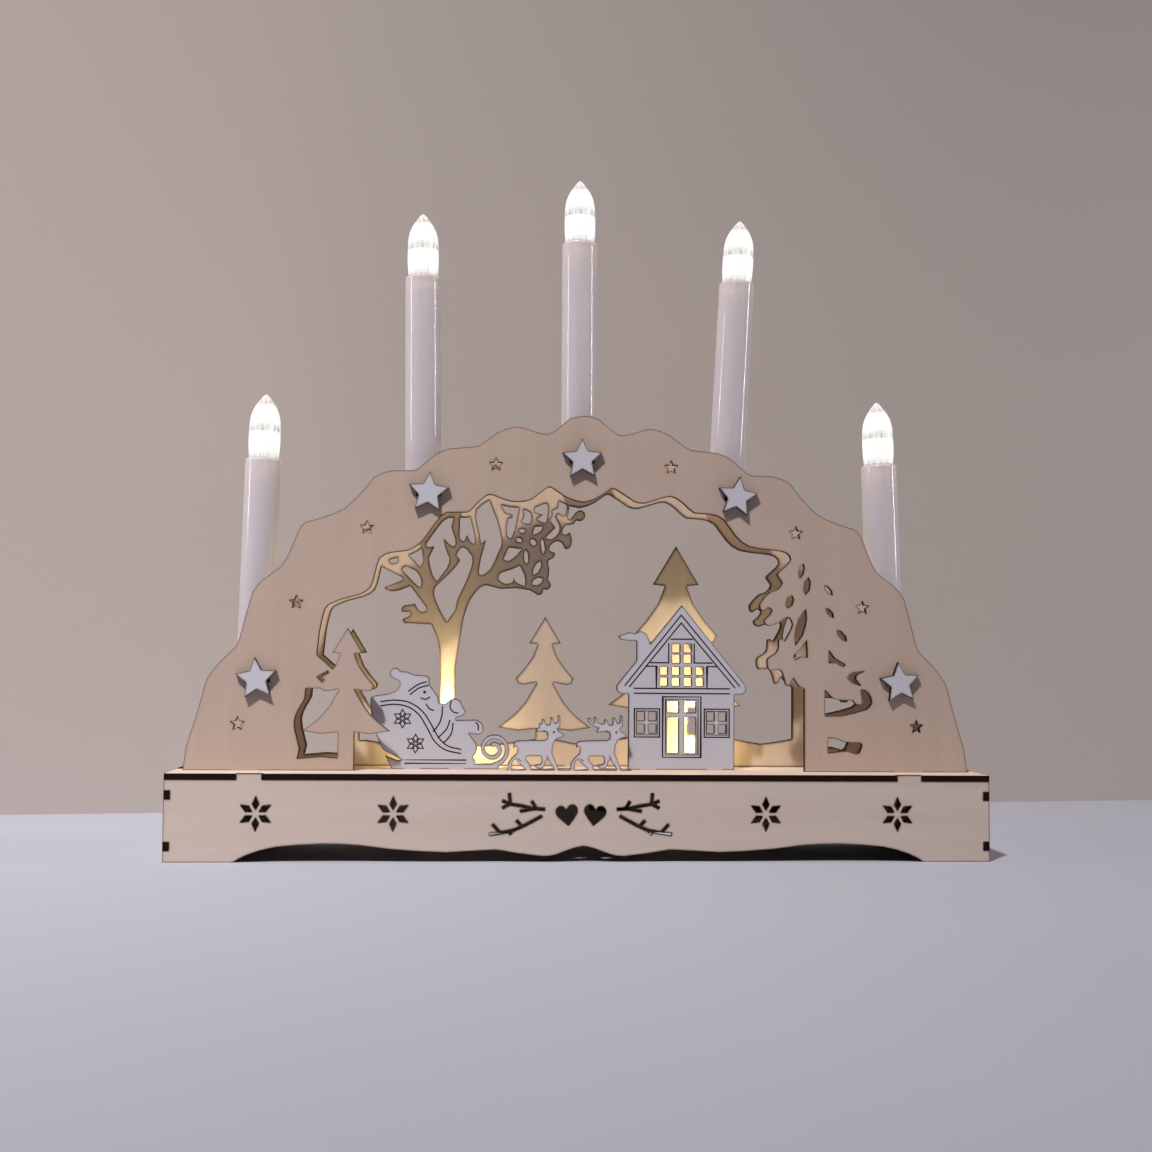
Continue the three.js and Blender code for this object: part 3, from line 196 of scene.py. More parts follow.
def soft_lamp(name, place, aim, size, power, spread=pi):
    """A rectangular lamp that looks at a point."""
    lamp = bpy.data.lights.new(name, "AREA")
    lamp.shape = "RECTANGLE"
    lamp.size, lamp.size_y = size
    lamp.energy = power
    lamp.color = linear(lamp_color)[:3]
    lamp.spread = spread
    holder = bpy.data.objects.new(name, lamp)
    holder.location = place
    holder.rotation_euler = (Vector(aim) - Vector(place)).to_track_quat("-Z", "Y").to_euler()
    bpy.context.scene.collection.objects.link(holder)


arch_middle = (0, 0, 0.15)
pool_middle = (-0.26, 0.08, 0)
soft_lamp("room_lamp", (-1.06, -1.72, 3.06), pool_middle, size=(0.2, 0.2), power=6.9,
          spread=radians(40))
soft_lamp("left_strip", (-1.2, -0.15, 0.45), arch_middle, size=(0.05, 0.5), power=2.4)
soft_lamp("right_strip", (1.25, -0.1, 0.45), arch_middle, size=(0.05, 0.6), power=4.5)

# The eye sees the far room lighter than the light that it sends in.
sky_light, sky_seen = 0.08, 0.45
sky = bpy.data.worlds.new("soft_room_light")
bpy.context.scene.world = sky
sky.use_nodes = True
ray = node(sky, "ShaderNodeLightPath")
seen = node(sky, "ShaderNodeMapRange", {
    "Value": ray.outputs["Is Camera Ray"], "To Min": sky_light, "To Max": sky_seen,
})
background = sky.node_tree.nodes["Background"].inputs
background["Color"].default_value = linear("#fbf6f6")
sky.node_tree.links.new(seen.outputs["Result"], background["Strength"])

# Box foot. Front, back and side boards of 3 mm birch plywood are cut out with a laser, so every
# edge is burnt dark brown. Fingers at the corners and tabs through the lid hold it without screws.

ply = 3 * mm
veneers = 3
veneer = ply / veneers


def laser_cut_plywood(name, light, dark, across="Y", along="X", painted=None, scorch=0.9 * mm,
                      smoke=2.4 * mm):
    """Birch plywood cut with a laser. Long fibres and faint growth streaks run along one axis, a
    brown line of scorched resin and a haze of smoke follow every cut, and the cut itself is nearly
    black with glue lines a veneer apart. Paint, where there is any, lies on the faces alone."""
    material = new_material(name)
    spot = node(material, "ShaderNodeTexCoord").outputs["Object"]

    # Growth streaks some 8 mm apart, and fibres of 0.4 mm that are twelve times as long.
    streak_width, fibre_width, stretch = 8 * mm, 0.4 * mm, 12
    lengths = [stretch if axis == along else 1 for axis in "XYZ"]
    slow = node(material, "ShaderNodeMapping", {
        "Vector": spot, "Scale": [1 / streak_width / length for length in lengths],
    })
    streaks = node(material, "ShaderNodeTexNoise", {
        "Vector": slow.outputs["Vector"], "Scale": 1.0, "Detail": 4.0, "Distortion": 0.6,
    })
    fine = node(material, "ShaderNodeMapping", {
        "Vector": spot, "Scale": [1 / fibre_width / length for length in lengths],
    })
    fibres = node(material, "ShaderNodeTexNoise", {
        "Vector": fine.outputs["Vector"], "Scale": 1.0, "Detail": 2.0,
    })
    grain = node(material, "ShaderNodeMix", {
        "Factor": 0.35, "A": streaks.outputs["Fac"], "B": fibres.outputs["Fac"],
    })
    spread = node(material, "ShaderNodeMapRange", {
        "Value": grain.outputs["Result"], "From Min": 0.3, "From Max": 0.7,
    })
    wood = node(material, "ShaderNodeMix", {
        "Factor": spread.outputs["Result"], "A": linear(dark), "B": linear(light),
    }, data_type="RGBA")
    face = wood.outputs["Result"]
    if painted:
        # One thin sprayed coat, a little uneven over the grain.
        face = node(material, "ShaderNodeMix", {
            "Factor": 0.93, "A": face, "B": linear(painted),
        }, data_type="RGBA").outputs["Result"]

    # Pin knots, some 34 mm apart and a millimetre across, with a soft rim.
    knot_gap, knot_radius = 34 * mm, 0.5 * mm
    knots = node(material, "ShaderNodeTexVoronoi", {"Vector": spot, "Scale": 1 / knot_gap})
    knot = node(material, "ShaderNodeMapRange", {
        "Value": knots.outputs["Distance"],
        "From Min": 0.6 * knot_radius / knot_gap, "From Max": 1.4 * knot_radius / knot_gap,
        "To Min": 0.0 if painted else 0.55, "To Max": 0.0,
    })
    near = node(material, "ShaderNodeMix", {
        "Factor": knot.outputs["Result"], "A": face, "B": linear("#6b4a38"),
    }, data_type="RGBA").outputs["Result"]

    # How far a rounded edge would turn the surface tells how near the cut is. A wide rounding
    # gives the pale brown haze of smoke, and a narrow one the dark line of scorched resin.
    flat = node(material, "ShaderNodeNewGeometry").outputs["Normal"]
    for reach, start, full, most, burn in (
        (smoke, 0.99, 0.75, 0.5, "#8c6642"),
        (scorch, 0.99, 0.95, 0.95, "#2e1b14"),
    ):
        rounded = node(material, "ShaderNodeBevel", {"Radius": reach}, samples=6)
        facing = node(material, "ShaderNodeVectorMath", {
            0: rounded.outputs["Normal"], 1: flat,
        }, operation="DOT_PRODUCT")
        soot = node(material, "ShaderNodeMapRange", {
            "Value": facing.outputs["Value"], "From Min": start, "From Max": full,
            "To Min": 0.0, "To Max": most,
        })
        near = node(material, "ShaderNodeMix", {
            "Factor": soot.outputs["Result"], "A": near, "B": linear(burn),
        }, data_type="RGBA").outputs["Result"]

    # The cut edge: charred in patches of 4 mm, with a thin glue line between the veneers.
    char_width = 4 * mm
    place = node(material, "ShaderNodeSeparateXYZ", {"Vector": spot})
    depth = node(material, "ShaderNodeMath", {
        0: place.outputs[across], 1: veneer,
    }, operation="DIVIDE")
    layer = node(material, "ShaderNodeMath", {0: depth.outputs["Value"]}, operation="FRACT")
    off_middle = node(material, "ShaderNodeMath", {
        0: layer.outputs["Value"], 1: 0.5,
    }, operation="SUBTRACT")
    to_glue = node(material, "ShaderNodeMath", {
        0: off_middle.outputs["Value"],
    }, operation="ABSOLUTE")
    glue = node(material, "ShaderNodeMapRange", {
        "Value": to_glue.outputs["Value"], "From Min": 0.3, "From Max": 0.48,
    })
    char = node(material, "ShaderNodeMix", {
        "Factor": glue.outputs["Result"], "A": linear("#28150f"), "B": linear("#0f0705"),
    }, data_type="RGBA")
    patchy = node(material, "ShaderNodeTexNoise", {"Vector": spot, "Scale": 1 / char_width})
    charred = node(material, "ShaderNodeMix", {
        "Factor": patchy.outputs["Fac"], "A": char.outputs["Result"], "B": linear("#1a0f0b"),
    }, data_type="RGBA")

    # A surface that looks across the board, to within 45 degrees, is a face, and the rest is cut.
    turned = node(material, "ShaderNodeTexCoord").outputs["Normal"]
    sides = node(material, "ShaderNodeSeparateXYZ", {"Vector": turned})
    square = node(material, "ShaderNodeMath", {0: sides.outputs[across]}, operation="ABSOLUTE")
    is_face = node(material, "ShaderNodeMath", {
        0: square.outputs["Value"], 1: 0.7,
    }, operation="GREATER_THAN")
    color = node(material, "ShaderNodeMix", {
        "Factor": is_face.outputs["Value"], "A": charred.outputs["Result"], "B": near,
    }, data_type="RGBA")
    fibre_relief = 0.05 * mm
    relief = node(material, "ShaderNodeBump", {
        "Height": fibres.outputs["Fac"], "Strength": 0.15, "Distance": fibre_relief,
    })
    return surface(material, node(material, "ShaderNodeBsdfPrincipled", {
        "Base Color": color.outputs["Result"], "Roughness": 0.7 if painted else 0.8,
        "Specular IOR Level": 0.07, "Normal": relief.outputs["Normal"],
    }))


def finish(material, *names):
    """Gives CAD pieces their material."""
    for name in names:
        nodes[name].data.materials.clear()
        nodes[name].data.materials.append(material)


birch_light, birch_dark = "#cfc0b8", "#c7b6ad"
board_front = laser_cut_plywood("birch_plywood_upright", birch_light, birch_dark)
board_side = laser_cut_plywood("birch_plywood_endways", birch_light, birch_dark, across="X",
                               along="Y")
board_flat = laser_cut_plywood("birch_plywood_lying", "#dccbc0", "#cfbbae", across="Z")
finish(board_front, "base_front_panel", "base_back_panel")
finish(board_side, "base_left_side", "base_right_side")
finish(board_flat, "base_lid")

# Arches. Two pierced boards stand in slots in the lid, 26 mm apart, each with a small spruce on
# the left and a leafy tree on the right. The front one carries the stars. The back one also has
# the big tree, two more spruces and low hills, all cut with a laser from the one board.

arch_front = laser_cut_plywood("birch_plywood_arch", "#c0aba0", "#b8a498", along="Z",
                               scorch=0.8 * mm)
# The back arch is the same plywood in a lighter, warmer tan: painted warm light from the scene
# lights.
back_arch_painted_warm = laser_cut_plywood("birch_plywood_back_arch_painted_warm", "#cfbbab", "#c4ad9a", along="Z",
                              scorch=1.8 * mm, smoke=4 * mm)
finish(arch_front, "front_arch")
finish(back_arch_painted_warm, "back_arch")

# Candle shelves. Small boards of the same plywood bridge the arches, and their tabs go through
# both. Each one carries a candle and keeps the two arches their distance apart.

candle_numbers = range(1, 6)
finish(board_flat, *[f"candle_shelf_{number}" for number in candle_numbers])

# Winter scene. A sleigh, two reindeer and a house are cut from plywood and painted white on the
# front. The laser also draws their inner lines, as shallow burnt grooves half a millimetre wide.

painted_board = laser_cut_plywood("white_painted_plywood", "#c9b1a4", "#bca194", painted="#c5c5d2",
                                  scorch=1.1 * mm)
finish(painted_board, "sleigh", "reindeer_rear", "reindeer_front", "house")

# Burnt groove: matt and nearly black, burnt in more and less over every 1.5 mm.
burn_width = 1.5 * mm
burnt_groove = new_material("burnt_groove")
spot = node(burnt_groove, "ShaderNodeTexCoord")
depth = node(burnt_groove, "ShaderNodeTexNoise", {
    "Vector": spot.outputs["Object"], "Scale": 1 / burn_width,
})
burnt = node(burnt_groove, "ShaderNodeMix", {
    "Factor": depth.outputs["Fac"], "A": linear("#1c1214"), "B": linear("#3a2928"),
}, data_type="RGBA")
surface(burnt_groove, node(burnt_groove, "ShaderNodeBsdfPrincipled", {
    "Base Color": burnt.outputs["Result"], "Roughness": 0.85, "Specular IOR Level": 0.1,
}))

# The grooves are drawn as flat strips, a hair in front of the board. Their widths are in mm, and
# a mitred corner is at most twice as wide as its strip.
lid_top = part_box("base_lid")[1].z
groove_proud = 0.03 * mm
groove_width, fine_groove = 0.68, 0.4
mitre_limit = 2


def curved(points, steps=6):
    """A smooth line through points, as a Catmull-Rom spline."""
    ends = [points[0], *points, points[-1]]
    line = []
    for a, b, c, d in zip(ends, ends[1:], ends[2:], ends[3:]):
        for i in range(steps):
            t = i / steps
            line.append(tuple(
                0.5 * (2 * q + (r - p) * t + (2 * p - 5 * q + 4 * r - s) * t * t
                       + (3 * q - p - 3 * r + s) * t ** 3)
                for p, q, r, s in zip(a, b, c, d)
            ))
    return [*line, points[-1]]


def burnt_lines(name, node_name, lines, width=groove_width):
    """Burnt lines on the front of a scene piece. Lines are in mm: x from the middle of the arch
    and height above the lid. The bends are mitred, also where a line ends at its own start."""
    points, faces = [], []
    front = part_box(node_name)[0].y - groove_proud
    for line in lines:
        flat = [Vector(p) for p in line]
        first = len(points)
        for i, point in enumerate(flat):
            before = flat[max(i - 1, 0)]
            after = flat[min(i + 1, len(flat) - 1)]
            if (flat[0] - flat[-1]).length < 1e-6:
                before = flat[-2] if i == 0 else before
                after = flat[1] if i == len(flat) - 1 else after
            along = (after - before).normalized()
            one_way = (point - before).normalized() if point != before else along
            half = width / 2 / max(one_way.dot(along), 1 / mitre_limit)
            side = Vector((-along.y, along.x)) * half
            for edge in (point + side, point - side):
                points.append((edge.x * mm, front, lid_top + edge.y * mm))
        for i in range(len(flat) - 1):
            a = first + 2 * i
            faces.append((a, a + 1, a + 3, a + 2))
    drawn = mesh_object(name, points, faces, burnt_groove)
    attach(drawn, "frame")


def frame_line(x0, x1, z0, z1):
    """The closed line of a rectangle."""
    return [(x0, z0), (x1, z0), (x1, z1), (x0, z1), (x0, z0)]


def ring(x, z, radius, steps):
    """The closed line of a circle."""
    return [(x + radius * cos(2 * pi * i / steps), z + radius * sin(2 * pi * i / steps))
            for i in range(steps + 1)]


# House: the bargeboards' double line, floor beams, and a frame round each window and the door.
house_x = 51.2
eaves, ridge = 42.1, 78.2
house_lines = [
    # The bargeboards
    [(house_x - 29.1, eaves), (house_x - 0.4, ridge), (house_x + 29.8, eaves)],
    [(house_x - 26.7, eaves - 0.5), (house_x - 0.4, ridge - 4), (house_x + 27.3, eaves - 0.7)],
    # The beam over the ground floor and the one in the gable
    [(house_x - 24.5, 41), (house_x + 24.7, 41)],
    [(house_x - 24.3, 38.5), (house_x + 24.7, 38.5)],
    [(house_x - 5.9, 66), (house_x + 5.8, 66)],
    # The timbers beside the gable's windows
    [(house_x - 16.3, 54), (house_x - 6.7, 54), (house_x - 6.7, 64)],
    [(house_x + 15.7, 54), (house_x + 6.3, 54), (house_x + 6.3, 64)],
    [(house_x - 18, 52.2), (house_x - 12.9, 52.2), (house_x - 12.9, 41)],
    [(house_x + 18, 52.2), (house_x + 12.9, 52.2), (house_x + 12.9, 41)],
    # The door's frame and the side windows' frames
    frame_line(house_x - 9.6, house_x + 9.8, 6.3, 36.8),
    frame_line(house_x - 24, house_x - 11.2, 16.5, 30.7),
    frame_line(house_x + 11.6, house_x + 24.3, 16.5, 30.7),
]
burnt_lines("house_lines", "house", house_lines)

# Each of the three frames has a finer inner line.
inner_lines = [
    frame_line(house_x - 8.2, house_x + 8.4, 7.5, 35.6),
    frame_line(house_x - 22.9, house_x - 12.3, 17.6, 29.6),
    frame_line(house_x + 12.7, house_x + 23.2, 17.6, 29.6),
]
burnt_lines("house_inner_lines", "house", inner_lines, width=fine_groove)


def petal_star(x, z, inner, widest, side, tip):
    """Six outlined kite-shaped petals round a centre. Each begins at inner, is broadest at widest,
    with side to each side of its middle line, and ends at tip."""
    petals = []
    for i in range(6):
        angle = pi / 2 + i * pi / 3
        kite = [(inner, 0), (widest, -side), (tip, 0), (widest, side), (inner, 0)]
        petals.append([
            (x + out * cos(angle) - off * sin(angle), z + out * sin(angle) + off * cos(angle))
            for out, off in kite
        ])
    return petals


# Sleigh: a double rail that sweeps down the side, two six-petalled stars, the line of a slot over
# the runner, and the rider's coat, mittens, cap and face.
rail = [(-100.3, 33.5), (-93, 34.3), (-85.4, 33), (-79, 28.4), (-74.3, 21.2), (-71, 15.6),
        (-66.5, 11.6), (-59.8, 9.9)]
lower_rail = [(-100.3, 31.4), (-93.5, 32.2), (-86.6, 31), (-81, 27), (-76.6, 20), (-73, 13.8),
              (-67.5, 9.6), (-59.8, 7.8)]
sleigh_lines = [
    curved(rail), curved(lower_rail),
    # The folds of the coat
    curved([(-69.4, 31.6), (-69.6, 27), (-71, 22.6), (-74, 18.6)]),
    curved([(-65.6, 24.6), (-67, 20.4), (-69.4, 17.6), (-71.6, 15.6)]),
    curved([(-64, 23.2), (-64.6, 18.4), (-66.4, 15.4), (-68.6, 13.2)]),
    # The mittens
    curved([(-65, 34.2), (-65.6, 31), (-64, 28.6), (-61.4, 28)]),
    curved([(-52.8, 23.4), (-51.4, 22), (-51.4, 19.4)]),
    # The band of the cap
    curved([(-86.6, 38.6), (-82, 42), (-77.4, 43.6)]),
    curved([(-85.8, 37), (-81.2, 40.4), (-76.4, 41.8)]),
    # An eye, the mouth and a curl of the beard
    ring(-78.4, 38.4, 0.45, steps=8),
    curved([(-80.4, 35.6), (-78, 34.8), (-75.6, 36)]),
    curved([(-77.6, 32.6), (-76, 30.2), (-73.6, 29.2)]),
]
burnt_lines("sleigh_lines", "sleigh", sleigh_lines)
burnt_lines("sleigh_slot_line", "sleigh", [frame_line(-88, -57.2, 2.9, 4.6)], width=0.36)
star_lines = [
    petal
    for x, z in ((-89.2, 25.1), (-82.6, 12.7))
    for petal in petal_star(x, z, inner=0.8, widest=2.6, side=1.2, tip=4.6)
]
burnt_lines("sleigh_star_lines", "sleigh", star_lines, width=0.55)

# Reindeer: an eye, an ear and the bends of the near legs.
for tail_x, name in ((-34, "reindeer_rear"), (-2.7, "reindeer_front")):
    deer_lines = [
        ring(tail_x + 20.3, 19.1, 0.4, steps=8),
        curved([(tail_x + 17, 17.4), (tail_x + 16.8, 19), (tail_x + 14.6, 20)]),
        curved([(tail_x + 2.6, 5.8), (tail_x + 4, 4.6)]),
        curved([(tail_x + 16.6, 7.4), (tail_x + 18, 5.6)]),
    ]
    burnt_lines(f"{name}_lines", name, deer_lines, width=fine_groove)

# Stars. Each is cut with a laser from the same plywood, painted white on the front and glued over
# a shelf's tabs, so that the joint doesn't show.

finish(painted_board, *[f"star_{number}" for number in candle_numbers])

# Candles. A thin polypropylene tube with a rounded top is pushed over a peg on each shelf. It is
# moulded white with a silky surface, so light runs down it in soft upright streaks.

candle_radius = 9 * mm
tube_wall = 1.2 * mm
bore = candle_radius - tube_wall
top_thickness = 1.6 * mm
shoulder = 1.9 * mm
foot_rounding = 0.3 * mm
mouth_radius = 6.15 * mm
candle_lean = [radians(angle) for angle in (1.3, -0.8, -0.2, 2.9, -2)]
round_segments = 64


def candle_place(number):
    """Where a candle's tube stands and how it leans: its foot, its height and its turn."""
    lean = candle_lean[number - 1]
    low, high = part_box(f"candle_tube_{number}")
    height = (high.z - low.z - 2 * candle_radius * abs(sin(lean))) / cos(lean)
    foot_z = low.z + candle_radius * abs(sin(lean))
    centre_x = (low.x + high.x) / 2 - height * sin(lean) / 2
    return Vector((centre_x, 0, foot_z)), height, Matrix.Rotation(lean, 4, "Y")


def turned_mesh(profile, segments=round_segments):
    """Points and faces of a closed body of revolution. The profile is radius and height, and
    starts and ends on the axis or closes on itself."""
    points, faces = [], []
    rows = []
    for radius, height in profile:
        if radius < 1e-7:
            rows.append([len(points)])
            points.append((0, 0, height))
            continue
        rows.append(list(range(len(points), len(points) + segments)))
        for i in range(segments):
            angle = 2 * pi * i / segments
            points.append((radius * cos(angle), radius * sin(angle), height))
    pairs = list(zip(rows, rows[1:]))
    if len(rows[0]) > 1:
        pairs.append((rows[-1], rows[0]))
    for lower, upper in pairs:
        for i in range(segments):
            j = (i + 1) % segments
            corners = [lower[i % len(lower)], lower[j % len(lower)],
                       upper[j % len(upper)], upper[i % len(upper)]]
            faces.append(tuple(dict.fromkeys(corners)))
    return points, [face for face in faces if len(face) > 2]


# Polypropylene: milky and silky, with clouds drawn out along the tube. Its emission is a painted
# glow: faint all the way down the tube, where it lifts the shaded side, and warmer in the 25 mm
# under the bulb, where it stands for the bulb's light through the thin wall.
cloud_width, cloud_length = 6 * mm, 60 * mm
polypropylene = new_material("moulded_polypropylene")
spot = node(polypropylene, "ShaderNodeTexCoord")
flow = node(polypropylene, "ShaderNodeMapping", {
    "Vector": spot.outputs["Object"],
    "Scale": (1 / cloud_width, 1 / cloud_width, 1 / cloud_length),
})
cloud = node(polypropylene, "ShaderNodeTexNoise", {"Vector": flow.outputs["Vector"], "Scale": 1.0})
milky = node(polypropylene, "ShaderNodeMix", {
    "Factor": cloud.outputs["Fac"], "A": linear("#b7acb4"), "B": linear("#bfb5bc"),
}, data_type="RGBA")
up = node(polypropylene, "ShaderNodeSeparateXYZ", {"Vector": spot.outputs["Object"]})
# Painted glow on the tube: warmer over the 25 mm under the bulb, and faint below.
lit_reach, lit_from = 25 * mm, 84 * mm
painted_glow_height = node(polypropylene, "ShaderNodeMapRange", {
    "Value": up.outputs["Z"], "From Min": lit_from, "From Max": lit_from + lit_reach,
})
painted_tube_glow = node(polypropylene, "ShaderNodeValToRGB", {"Fac": painted_glow_height.outputs["Result"]})
painted_tube_glow.color_ramp.elements[0].color = linear("#e4e0e6")
painted_tube_glow.color_ramp.elements[1].color = linear("#fff0dc")
surface(polypropylene, node(polypropylene, "ShaderNodeBsdfPrincipled", {
    "Base Color": milky.outputs["Result"], "Roughness": 0.1, "IOR": 1.49,
    "Specular IOR Level": 0.45,
    "Subsurface Weight": 0.7, "Subsurface Scale": 8 * mm, "Subsurface Radius": (1.0, 0.9, 0.8),
    "Sheen Weight": 0.35, "Sheen Roughness": 0.3, "Sheen Tint": linear("#fff6f2"),
    "Emission Color": painted_tube_glow.outputs["Color"], "Emission Strength": 0.13,
}))


def arc(centre, radius, start, end, steps):
    """Profile points on part of a circle, with angles in degrees from the radius direction."""
    return [
        (centre[0] + radius * cos(radians(start + (end - start) * i / steps)),
         centre[1] + radius * sin(radians(start + (end - start) * i / steps)))
        for i in range(steps + 1)
    ]


for number in candle_numbers:
    foot, height, turn = candle_place(number)
    under_top = height - top_thickness
    # From the bore's foot round the outside, and over the top to the mouth and back in.
    profile = [
        (bore, 0),
        *arc((candle_radius - foot_rounding, foot_rounding), foot_rounding, -90, 0, steps=3),
        *arc((candle_radius - shoulder, height - shoulder), shoulder, 0, 90, steps=8),
        (mouth_radius, height), (mouth_radius, under_top), (bore, under_top),
    ]
    points, faces = turned_mesh(profile)
    tube = mesh_object(f"candle_{number}", points, faces, polypropylene, smooth=True)
    tube.matrix_world = Matrix.Translation(foot) @ turn
    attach(tube, "frame")
    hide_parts(f"candle_tube_{number}")
finish(polypropylene, *[f"candle_peg_{number}" for number in candle_numbers])

# Flame bulbs. Each is a clear polystyrene flame, moulded with fine upright flutes, whose neck is
# pushed into the tube's top over a small light. Lit, it glows warm white all over.

flame_height = 32.5 * mm
flame_radius = 7.9 * mm
flame_steps = 40
bulb_gap = 0.1 * mm
neck_radius = 5.9 * mm
neck_depth = 5 * mm
flutes = 24
flute_depth = 0.22 * mm
flute_segments = 6

# Polystyrene: as clear and glossy as glass. The flutes break the light up, into a grey band under
# the middle, a thinner one near the tip, and upright ripples some 1 mm wide and 9 mm long.
ripple_width, ripple_length = 1.2 * mm, 9 * mm
fluted_polystyrene = new_material("lit_fluted_polystyrene")
spot = node(fluted_polystyrene, "ShaderNodeTexCoord")
place = node(fluted_polystyrene, "ShaderNodeSeparateXYZ", {"Vector": spot.outputs["Object"]})
share = node(fluted_polystyrene, "ShaderNodeMath", {
    0: place.outputs["Z"], 1: flame_height,
}, operation="DIVIDE")
ragged = node(fluted_polystyrene, "ShaderNodeMapping", {
    "Vector": spot.outputs["Object"],
    "Scale": (1 / ripple_width, 1 / ripple_width, 1 / ripple_length),
})
ripple = node(fluted_polystyrene, "ShaderNodeTexNoise", {
    "Vector": ragged.outputs["Vector"], "Scale": 1.0, "Detail": 2.0,
})
bent = node(fluted_polystyrene, "ShaderNodeMapRange", {
    "Value": ripple.outputs["Fac"], "From Min": 0.4, "From Max": 0.62,
    "To Min": 0.15, "To Max": 1.0,
})
bands = node(fluted_polystyrene, "ShaderNodeValToRGB", {"Fac": share.outputs["Value"]})
ramp = bands.color_ramp
ramp.elements[0].position, ramp.elements[0].color = 0.0, linear("#c4c2c0")
ramp.elements[1].position, ramp.elements[1].color = 1.0, linear("#f4ecea")
for at, color in ((0.1, "#ffffff"), (0.395, "#ffffff"), (0.41, "#aab2ab"), (0.47, "#c9cdc8"),
                  (0.54, "#ffffff"), (0.79, "#ffffff"), (0.87, "#bdaeab"), (0.93, "#e2d6d4")):
    step = ramp.elements.new(at)
    step.color = linear(color)
glow = node(fluted_polystyrene, "ShaderNodeMix", {
    "Factor": bent.outputs["Result"], "A": linear("#fffefc"), "B": bands.outputs["Color"],
}, data_type="RGBA")
flame_strength = 0.9
above_tube = node(fluted_polystyrene, "ShaderNodeMath", {
    0: place.outputs["Z"], 1: 0.0,
}, operation="GREATER_THAN")
lit = node(fluted_polystyrene, "ShaderNodeMath", {
    0: above_tube.outputs["Value"], 1: flame_strength,
}, operation="MULTIPLY")
surface(fluted_polystyrene, node(fluted_polystyrene, "ShaderNodeBsdfPrincipled", {
    "Base Color": linear("#6f6c69"), "Roughness": 0.08, "IOR": 1.59,
    "Emission Color": glow.outputs["Result"], "Emission Strength": lit.outputs["Value"],
}))

# The flame's shape: shares of its height, and of its greatest radius there.
flame_profile = [
    (0.0, 0.93), (0.1, 0.97), (0.22, 1.0), (0.36, 0.998), (0.52, 0.975), (0.6, 0.945),
    (0.69, 0.865), (0.77, 0.73), (0.84, 0.57), (0.9, 0.39), (0.95, 0.24), (0.98, 0.13), (1.0, 0.0),
]
flame_line = curved(flame_profile, steps=12)

# The flutes begin over the tube and fade out towards the foot, the tip and the axis.
flutes_start = 0.01 * mm
flutes_full = 1.5 * mm
flutes_fade = 0.35 * flame_height
smooth_tip = 0.5 * mm


def flame_reach(share):
    """The flame's radius at a share of its height."""
    for (h0, r0), (h1, r1) in zip(flame_line, flame_line[1:]):
        if h0 <= share <= h1:
            return flame_radius * (r0 + (r1 - r0) * (share - h0) / max(h1 - h0, 1e-9))
    return 0.0


def fluted_point(x, y, z):
    """A point of the flame, drawn in where a flute runs."""
    radius = hypot(x, y)
    if z <= flutes_start or radius <= smooth_tip:
        return x, y, z
    fade = min(1, (flame_height - z) / flutes_fade) * min(1, z / flutes_full)
    wave = 0.5 - 0.5 * cos(flutes * atan2(y, x))
    reach = (radius - flute_depth * wave * fade) / radius
    return x * reach, y * reach, z


for number in candle_numbers:
    foot, height, turn = candle_place(number)
    rise = Matrix.Translation((0, 0, height + bulb_gap))
    outside = [
        (flame_reach(i / flame_steps), flame_height * i / flame_steps) for i in range(flame_steps)
    ]
    # The neck, hidden in the tube, and then the flame from its foot to its tip.
    profile = [
        (0, -neck_depth), (neck_radius, -neck_depth), (neck_radius, 0), *outside,
        (0, flame_height),
    ]
    points, faces = turned_mesh(profile, flutes * flute_segments)
    fluted = [fluted_point(*point) for point in points]
    bulb = mesh_object(f"flame_{number}", fluted, faces, fluted_polystyrene, smooth=True)
    bulb.matrix_world = Matrix.Translation(foot) @ turn @ rise
    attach(bulb, "frame")
    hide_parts(f"flame_bulb_{number}")

# Lights. Two warm white lights stand in the lid behind the scene, and shine on the back arch.
# Each candle has another one hidden in its tube. They are clear resin domes, cast round a chip.

dome_height = 8 * mm
dome_radius = 2.5 * mm


def lit_resin(name, strength):
    """Clear epoxy that the chip in its foot lights up, paler towards the top of the dome."""
    material = new_material(name)
    spot = node(material, "ShaderNodeTexCoord")
    place = node(material, "ShaderNodeSeparateXYZ", {"Vector": spot.outputs["Object"]})
    high = node(material, "ShaderNodeMapRange", {
        "Value": place.outputs["Z"], "From Min": lid_top, "From Max": lid_top + dome_height,
    })
    warm = node(material, "ShaderNodeMix", {
        "Factor": high.outputs["Result"], "A": linear("#ffe2b4"), "B": linear("#fff3d8"),
    }, data_type="RGBA")
    return surface(material, node(material, "ShaderNodeBsdfPrincipled", {
        "Base Color": warm.outputs["Result"], "Roughness": 0.15, "IOR": 1.53,
        "Emission Color": warm.outputs["Result"], "Emission Strength": strength,
    }))


bright_resin = lit_resin("lit_epoxy_resin", strength=2.5)
hidden_resin = lit_resin("lit_epoxy_resin_in_tube", strength=0.3)
finish(bright_resin, "scene_light_sleigh", "scene_light_house")
finish(hidden_resin, *[f"flame_light_{number}" for number in candle_numbers])

